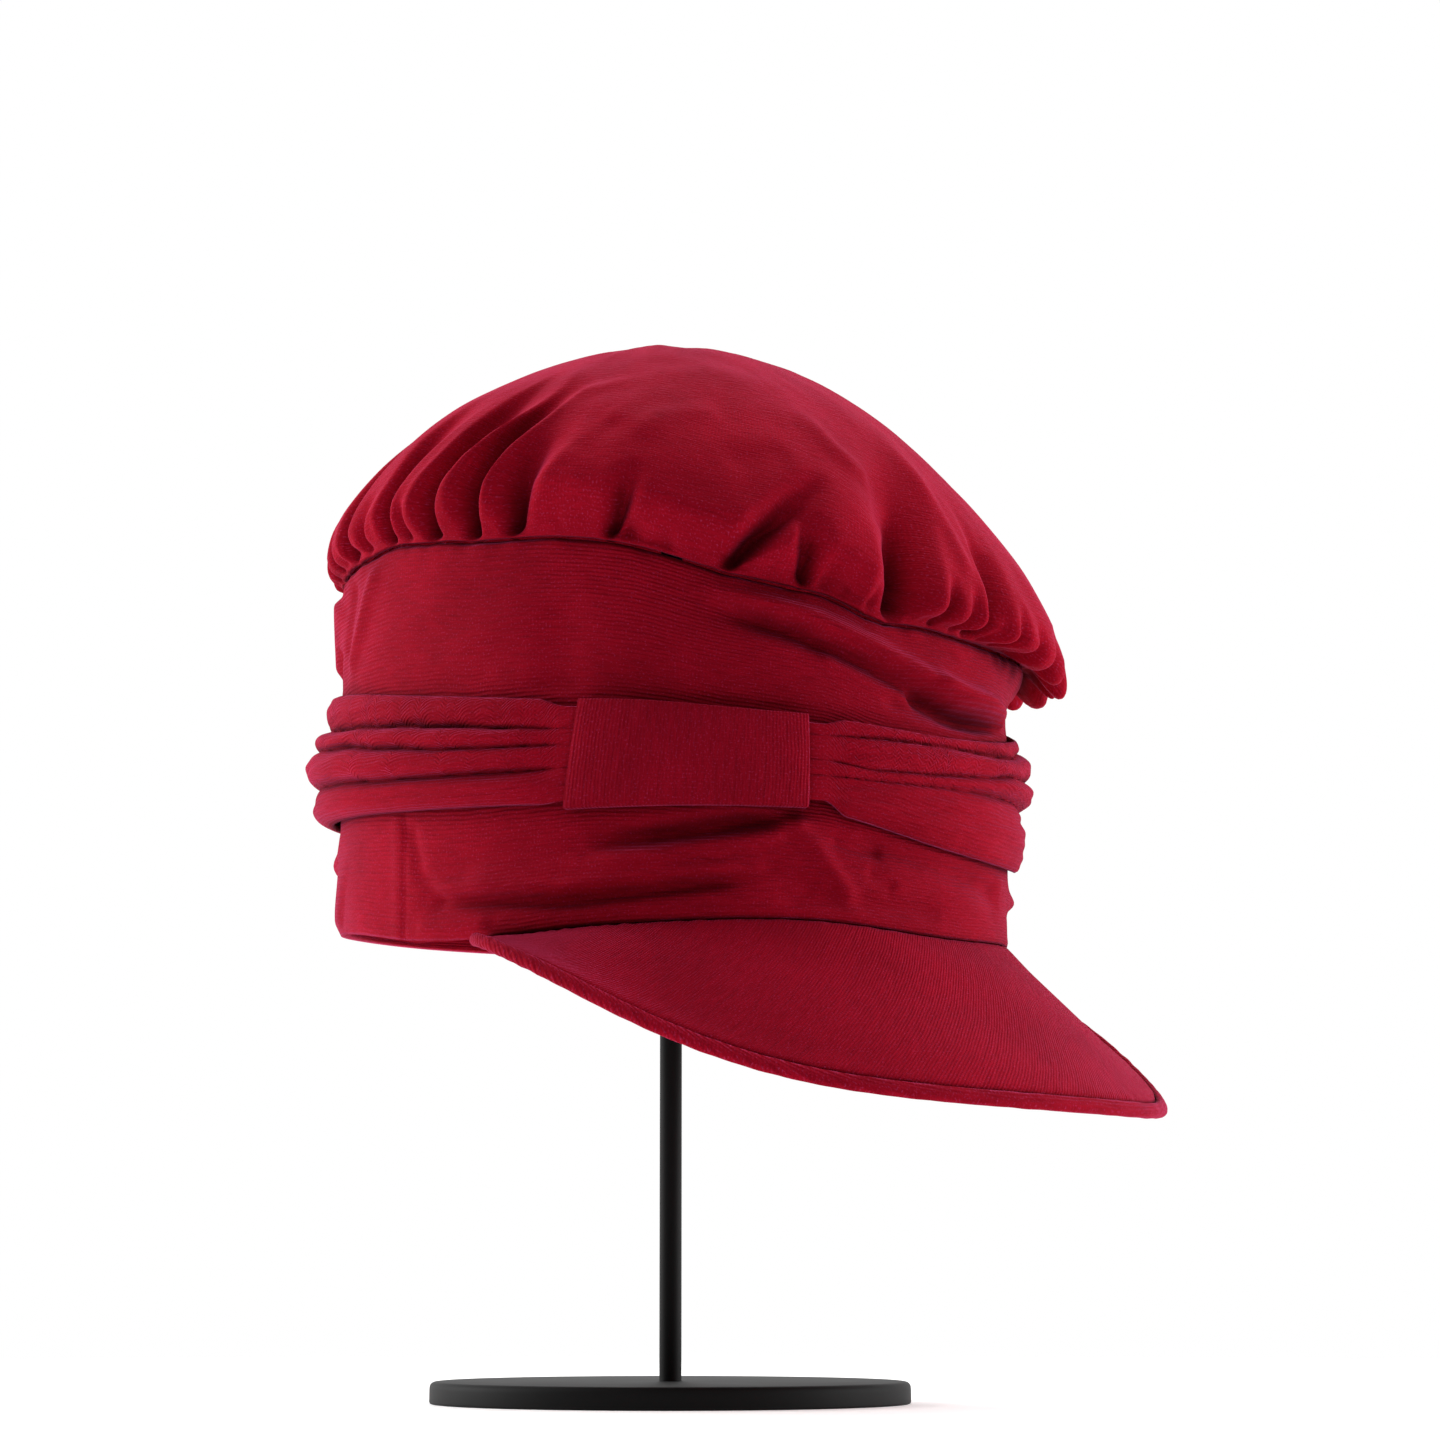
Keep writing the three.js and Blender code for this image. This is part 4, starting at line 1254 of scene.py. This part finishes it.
@dataclass
class Peak:
    """The sloping peak: an upper cover, and a facing that rolls up round its edge."""

    form: HeadForm
    half_span: float = 80.5
    reach: float = 45.4
    least_reach: float = 4.0
    drop: float = 44.4
    side_drop: float = 0.91
    bow: float = -0.01
    edge: float = 3.6
    gap: float = 0.35
    cover_wall: float = 0.9
    facing_wall: float = 0.8
    facing_gap: float = 0.2
    softness: float = 0.35
    pucker: float = 0.12
    edge_dip: float = 0.9
    stations: int = 300
    rows: int = 44
    under_rows: int = 26
    roll_rows: int = 16
    # Millimetres outside the band's oval and above the rim, from the tucked edge's end to the root.
    tuck_out: tuple = (-2.95, -2.95, -2.9, -2.6, -1.9, -1.0)
    tuck_rise: tuple = (2.4, 1.2, 0.4, -0.2, -0.4, -0.4)
    cover_finish: CottonKnit = CottonKnit(
        "peak cotton jersey", base="#9c0921", shade="#780516", rib_mm=0.75, rib_depth_mm=0.12, lay=Lay.TWILL
    )
    facing_finish: CottonKnit = CottonKnit(
        "facing cotton jersey", base="#960920", shade="#720415", rib_mm=0.9, rib_depth_mm=0.14
    )

    def top(self, along: Grid, share: Grid) -> Grid:
        """Points of the peak's upper face.

        Args:
            along: -1 to 1 over the span.
            share: 0 at the rim to 1 at the edge.

        Returns:
            Points in millimetres.
        """
        swing = np.sin(np.radians(90 * along))
        turn = swing * self.half_span
        near = np.maximum(0.0, np.cos(np.radians(90 * swing)))
        reach = np.maximum(self.least_reach, self.reach * near**0.31)
        drop = self.drop * near**1.45 * (1 + self.side_drop * np.sin(np.radians(90 * swing)) ** 2)
        angle = np.radians(turn)
        side, ahead = -0.86 * np.sin(angle), -0.86 * np.cos(angle) - 0.15
        length = np.hypot(side, ahead)
        points = self.form.place(turn, -0.1, self.form.around("rim", turn) - self.gap) + 0 * share[..., None]
        points[..., 0] += side / length * reach * share
        points[..., 1] += ahead / length * reach * share
        points[..., 2] -= drop * (share - self.bow * share * (1 - share))
        return points

    def face(self, along: Grid, share: Grid, depth: Grid) -> Grid:
        """Points below the upper face.

        Args:
            along: -1 to 1 over the span.
            share: 0 at the rim to 1 at the edge.
            depth: millimetres below the upper face.

        Returns:
            Points in millimetres.
        """
        held = np.clip(along, -0.995, 0.995)
        across = self.top(held + 0.004, share + 0.01) - self.top(held - 0.004, share + 0.01)
        down = self.top(held, share + 0.01) - self.top(held, share - 0.01)
        under = np.cross(across, down)
        under /= np.maximum(lengths(under), 1e-9)[..., None]
        under *= np.where(under[..., 2:] > 0, -1.0, 1.0)
        return self.top(along, share) + under * depth[..., None]

    def tuck(self, along: Grid) -> Grid:
        """The cover's turned edge, which lies under the band's rim and stands up behind it."""
        turn = self.half_span * np.sin(np.radians(90 * along))
        rise = self.form.around("rim", turn) + np.array([self.tuck_rise])
        return self.form.place(turn, np.array([self.tuck_out]), rise)

    def on_cloth(self, points: Grid) -> Grid:
        """Place of each point on the flat cloth, by lengths over the piece.

        Args:
            points: grid of points.

        Returns:
            Two lengths for each point, in millimetres.
        """
        across = lengths(np.diff(points[:, points.shape[1] // 2], axis=0))
        down = np.cumsum(lengths(np.diff(points, axis=1)), axis=1)
        u = np.concatenate([[0.0], np.cumsum(across)])[:, None]
        v = np.concatenate([np.zeros((points.shape[0], 1)), down], axis=1)
        return np.stack(np.broadcast_arrays(u, v), axis=-1)

    def cover(self, along: Grid, slope: Grid, rolled: Grid) -> Piece:
        """Builds and dresses the cover.

        Args:
            along: -1 to 1 over the span.
            slope: length of the peak's face there, in millimetres.
            rolled: share of the face that the facing's roll takes.

        Returns:
            The cover.
        """
        share = np.linspace(0.0, 1.0, self.rows)[None, :]
        soft = ripples(180 * along, share, 41, 8, (1, 4), (0.3, 1.2))
        pucker = ripples(180 * along, share, 42, 14, (30, 70), (0.0, 0.4))
        to_edge = (1 - share) * slope
        stitched = bell(to_edge, 4.0) + bell(share * slope, 4.0)
        depth = -self.softness * soft * smooth(share / 0.2) * smooth((1 - share) / 0.2)
        depth = depth - self.pucker * pucker * stitched + self.edge_dip * bell(to_edge, 0.9)
        points = np.concatenate([self.tuck(along), self.face(along, share * (1 - rolled), depth)], axis=1)
        cloth = self.on_cloth(points)
        cover = cloth_piece("peak_cover_cloth", points, cloth, self.cover_wall, wrapped=False)
        hand_over(cover, self.cover_finish.material(), "peak_cover")
        return cover

    def facing(self, along: Grid, rolled: Grid) -> Piece:
        """Builds and dresses the facing: it runs out under the cover, rolls up round its edge and tucks in.

        Args:
            along: -1 to 1 over the span.
            rolled: share of the face that the roll takes.

        Returns:
            The facing.
        """
        end = 1 - rolled
        lower = self.cover_wall + self.facing_gap + self.facing_wall
        under = np.linspace(0.03, 0.93, self.under_rows)[None, :] * end
        step = np.linspace(0, 1, self.roll_rows)[None, :]
        out = end + rolled * (0.45 + 0.55 * np.sin(math.pi * step)) * (1 - 0.25 * step**3)
        back = lower / 2 + lower / 2 * np.cos(math.pi * step) + 0.15
        share = np.concatenate([under, out, end + rolled * 0.14], axis=1)
        depth = np.concatenate([lower + 0 * under, back + 0 * out, 1.0 + 0 * end], axis=1)
        pucker = ripples(180 * along, share, 43, 12, (30, 70), (0.0, 0.4))
        points = self.face(along, share, depth - 0.1 * pucker * smooth(share * 4 - 3))
        cloth = self.on_cloth(points)
        facing = cloth_piece("peak_facing_cloth", points, cloth, self.facing_wall, wrapped=False)
        hand_over(facing, self.facing_finish.material(), "peak_facing")
        return facing

    def build(self) -> list[Piece]:
        """Builds and dresses the cover and the facing.

        Returns:
            Both pieces.
        """
        along = np.linspace(-1.0, 1.0, self.stations)[:, None]
        slope = lengths(self.top(along, np.ones((1, 1))) - self.top(along, np.zeros((1, 1))))
        rolled = np.minimum(0.5, self.edge / slope)
        return [self.cover(along, slope, rolled), self.facing(along, rolled)]


# Stand


@dataclass
class Stand:
    """The short stand: a turned foot, a thin rod and a hidden rest that holds the cap."""

    foot_radius: float = 65.0
    foot_height: float = 6.0
    foot_edge: float = 2.0
    rod_radius: float = 3.0
    rod_low: float = 2.35
    rod_high: float = 266.65
    rod_rings: int = 12
    rod_gap: float = 0.3
    rest_radius: float = 56.0
    rest_bottom: float = 259.0
    rest_top: float = 284.6
    rest_rim: float = 3.0
    rest_gap: float = 0.35
    rest_rings: int = 22
    sides: int = 144
    corner_steps: int = 6
    coat: GrainedBlack = GrainedBlack("black powder coat")
    moulded: GrainedBlack = GrainedBlack("black moulded ABS", base="#1a1a1a", grain_mm=1.2)

    def turned(self, name: str, outline: list[tuple[float, float]]) -> Piece:
        """Turns an outline round the stand's axis.

        Args:
            name: the piece's name.
            outline: radius and height of each step in millimetres, starting and ending on the axis.

        Returns:
            The new object.
        """
        angles = np.linspace(0, math.tau, self.sides, endpoint=False)
        rings, points, faces = [], [], []
        for radius, height in outline:
            start = len(points)
            if radius:
                r, z = radius * MM, height * MM
                points += [(math.cos(a) * r, math.sin(a) * r, z) for a in angles]
                rings.append(list(range(start, start + self.sides)))
            else:
                points.append((0.0, 0.0, height * MM))
                rings.append([start] * self.sides)
        for below, above in zip(rings[:-1], rings[1:]):
            for k in range(self.sides):
                n = (k + 1) % self.sides
                faces.append(list(dict.fromkeys([below[k], below[n], above[n], above[k]])))
        return new_piece(name, points, faces)

    def rounded(self, outline: list[tuple[float, float, float]]) -> list[tuple[float, float]]:
        """Rounds the corners of an outline.

        Args:
            outline: radius, height and corner radius of each point.

        Returns:
            Radius and height of each point of the rounded outline.
        """
        made = []
        for k, (radius, height, corner) in enumerate(outline):
            if not corner:
                made.append((radius, height))
                continue
            here = np.array([radius, height])
            ways = [np.array(outline[k + side][:2]) - here for side in (-1, 1)]
            start, end = (here + way / np.linalg.norm(way) * corner for way in ways)
            for step in np.linspace(0, 1, self.corner_steps):
                point = (1 - step) ** 2 * start + 2 * step * (1 - step) * here + step**2 * end
                made.append((float(point[0]), float(point[1])))
        return made

    def build(self) -> list[Piece]:
        """Builds and dresses the foot, the rod and the rest.

        Returns:
            The three pieces.
        """
        foot, height, rod, low, high = (
            self.foot_radius, self.foot_height, self.rod_radius, self.rod_low, self.rod_high
        )
        hole, floor = rod + self.rod_gap, low - self.rod_gap
        foot_outline = self.rounded(
            [
                (0.0, 0.0, 0), (foot, 0.0, 0.8), (foot, height, self.foot_edge), (rod + 5, height, 0.3),
                (hole, height, 0.2), (hole, floor, 0), (0.0, floor, 0),
            ]
        )
        sides = [(rod, z, 0) for z in np.linspace(low + 2, high - 2, self.rod_rings)]
        rod_outline = self.rounded([(0.0, low, 0), (rod, low, 0.4), *sides, (rod, high, 0.4), (0.0, high, 0)])
        socket, edge = rod + self.rest_gap, self.rest_bottom + self.rest_rim
        shares = np.linspace(1.0, 0.0, self.rest_rings)
        rest_outline = [
            (0.0, high + self.rest_gap), (socket, high + self.rest_gap), (socket, self.rest_bottom),
            (self.rest_radius - 1, self.rest_bottom),
            *[(self.rest_radius * s, mix(self.rest_top, edge, s**2)) for s in shares],
        ]
        coat, moulded = self.coat.material(), self.moulded.material()
        made = []
        for name, outline, material, node in (
            ("foot_disc", foot_outline, coat, "stand_foot"),
            ("rod_bar", rod_outline, coat, "stand_rod"),
            ("rest_dome", rest_outline, moulded, "stand_rest"),
        ):
            made.append(self.turned(name, outline))
            hand_over(made[-1], material, node)
        return made


# Studio


@dataclass
class Studio:
    """Pale floor, soft light and the photograph's camera."""

    picture_px: float = 1440.0
    focal_px: float = 4017.0
    axis_px: float = 671.0
    rim_px: float = 938.0
    sensor_mm: float = 36.0
    bearing: float = 47.0
    distance: float = 1100.0
    eye_height: float = 32.0
    rim_height: float = 126.0
    room: str = "#ffffff"
    bright: float = 1.42
    dim: float = 0.27
    floor_half_m: float = 1.5
    floor_colour: str = "#f2f2f2"
    floor_glow: float = 0.3
    aim_m: float = 0.2
    # Name, place in metres, width in metres and power in watts.
    lamps: tuple = (
        ("overhead", (0.35, 0.45, 1.5), 0.9, 7.0),
        ("left", (-0.6, 1.25, 0.45), 0.7, 13.5),
        ("right", (1.1, -0.95, 0.22), 0.6, 11.0),
    )

    def camera(self) -> None:
        """Sets the camera so that the rod and the rim line fall where the photograph has them."""
        angle, upright = math.radians(self.bearing), Vector((0, 0, 1))
        ahead = Vector((math.sin(angle), math.cos(angle), 0))
        eye = -ahead * self.distance
        eye.z = self.eye_height
        centre = self.picture_px / 2
        yaw = math.atan((centre - self.axis_px) / self.focal_px)
        pitch = math.atan2(self.rim_height - self.eye_height, self.distance)
        pitch += math.atan((self.rim_px - centre) / self.focal_px)
        level = ahead * math.cos(yaw) + ahead.cross(upright) * math.sin(yaw)
        right = level.cross(upright)
        look = level * math.cos(pitch) + upright * math.sin(pitch)
        data = bpy.data.cameras.new("camera")
        data.sensor_width = self.sensor_mm
        data.lens = self.focal_px / self.picture_px * self.sensor_mm
        data.clip_start = 0.05
        data.clip_end = 50
        camera = new_object("camera", data)
        turn = Matrix((right, right.cross(look), -look)).transposed().to_4x4()
        camera.matrix_world = Matrix.Translation(eye * MM) @ turn
        bpy.context.scene.camera = camera

    def lights(self) -> None:
        """Adds the soft lamps, which face the cap."""
        for name, place, size, power in self.lamps:
            data = bpy.data.lights.new(name, "AREA")
            data.size = size
            data.energy = power
            lamp = new_object(name, data)
            lamp.location = place
            aim = Vector((0, 0, self.aim_m)) - Vector(place)
            lamp.rotation_euler = aim.to_track_quat("-Z", "Y").to_euler()

    def world(self) -> None:
        """Surrounds the cap with white cloth, bright behind and beside it and dim where the camera stands."""
        world = bpy.data.worlds.new("studio")
        bpy.context.scene.world = world
        world.use_nodes = True
        world.node_tree.nodes.clear()
        add = partial(add_node, world.node_tree)
        where = add("TexCoord").outputs["Generated"]
        angle = math.radians(self.bearing)
        towards = (-math.sin(angle), -math.cos(angle), -0.25)
        front = add("VectorMath", operation="DOT_PRODUCT", _0=where, _1=towards).outputs["Value"]
        span = {"From_Min": -0.25, "From_Max": 0.6, "To_Min": self.bright, "To_Max": self.dim}
        share = add("MapRange", interpolation_type="SMOOTHSTEP", Value=front, **span)
        lit = add("Background", Color=linear(self.room), Strength=share)
        seen = add("Background", Color=linear(self.room), Strength=1.0)
        direct = add("LightPath").outputs["Is Camera Ray"]
        add("OutputWorld", Surface=add("MixShader", _0=direct, _1=lit, _2=seen))

    def floor(self) -> None:
        """Lays a floor of matt white paper, which runs out into the white surround, so no horizon shows."""
        half = self.floor_half_m
        corners = [(-half, -half, 0), (half, -half, 0), (half, half, 0), (-half, half, 0)]
        floor = new_piece("floor", corners, [(0, 1, 2, 3)])
        made, add = new_material("matt white paper")
        place = add("TexCoord").outputs["Object"]
        away = add("VectorMath", operation="LENGTH", _0=place).outputs["Value"]
        fade = add("MapRange", interpolation_type="SMOOTHSTEP", Value=away, From_Min=0.12, From_Max=0.75)
        paper = add(
            "BsdfPrincipled", Base_Color=linear(self.floor_colour), Roughness=0.9,
            Emission_Color=linear(self.room), Emission_Strength=self.floor_glow,
        )
        add("OutputMaterial", Surface=add("MixShader", _0=fade, _1=paper, _2=add("BsdfTransparent")))
        floor.data.materials.append(made)

    def build(self) -> None:
        """Sets up the whole studio."""
        self.camera()
        self.world()
        self.floor()
        self.lights()
        bpy.context.scene.view_settings.view_transform = "Standard"


def main() -> None:
    """Builds the studio, the cap and its stand, and reports each piece."""
    form = HeadForm()
    keeper = Keeper(form)
    Studio().build()
    for part in (Crown(form), Band(form), Sash(form, keeper), keeper, Peak(form), Stand()):
        for piece in part.build():
            log.info("%s: %d vertices", piece.name, len(piece.data.vertices))


if __name__ == "__main__":
    main()
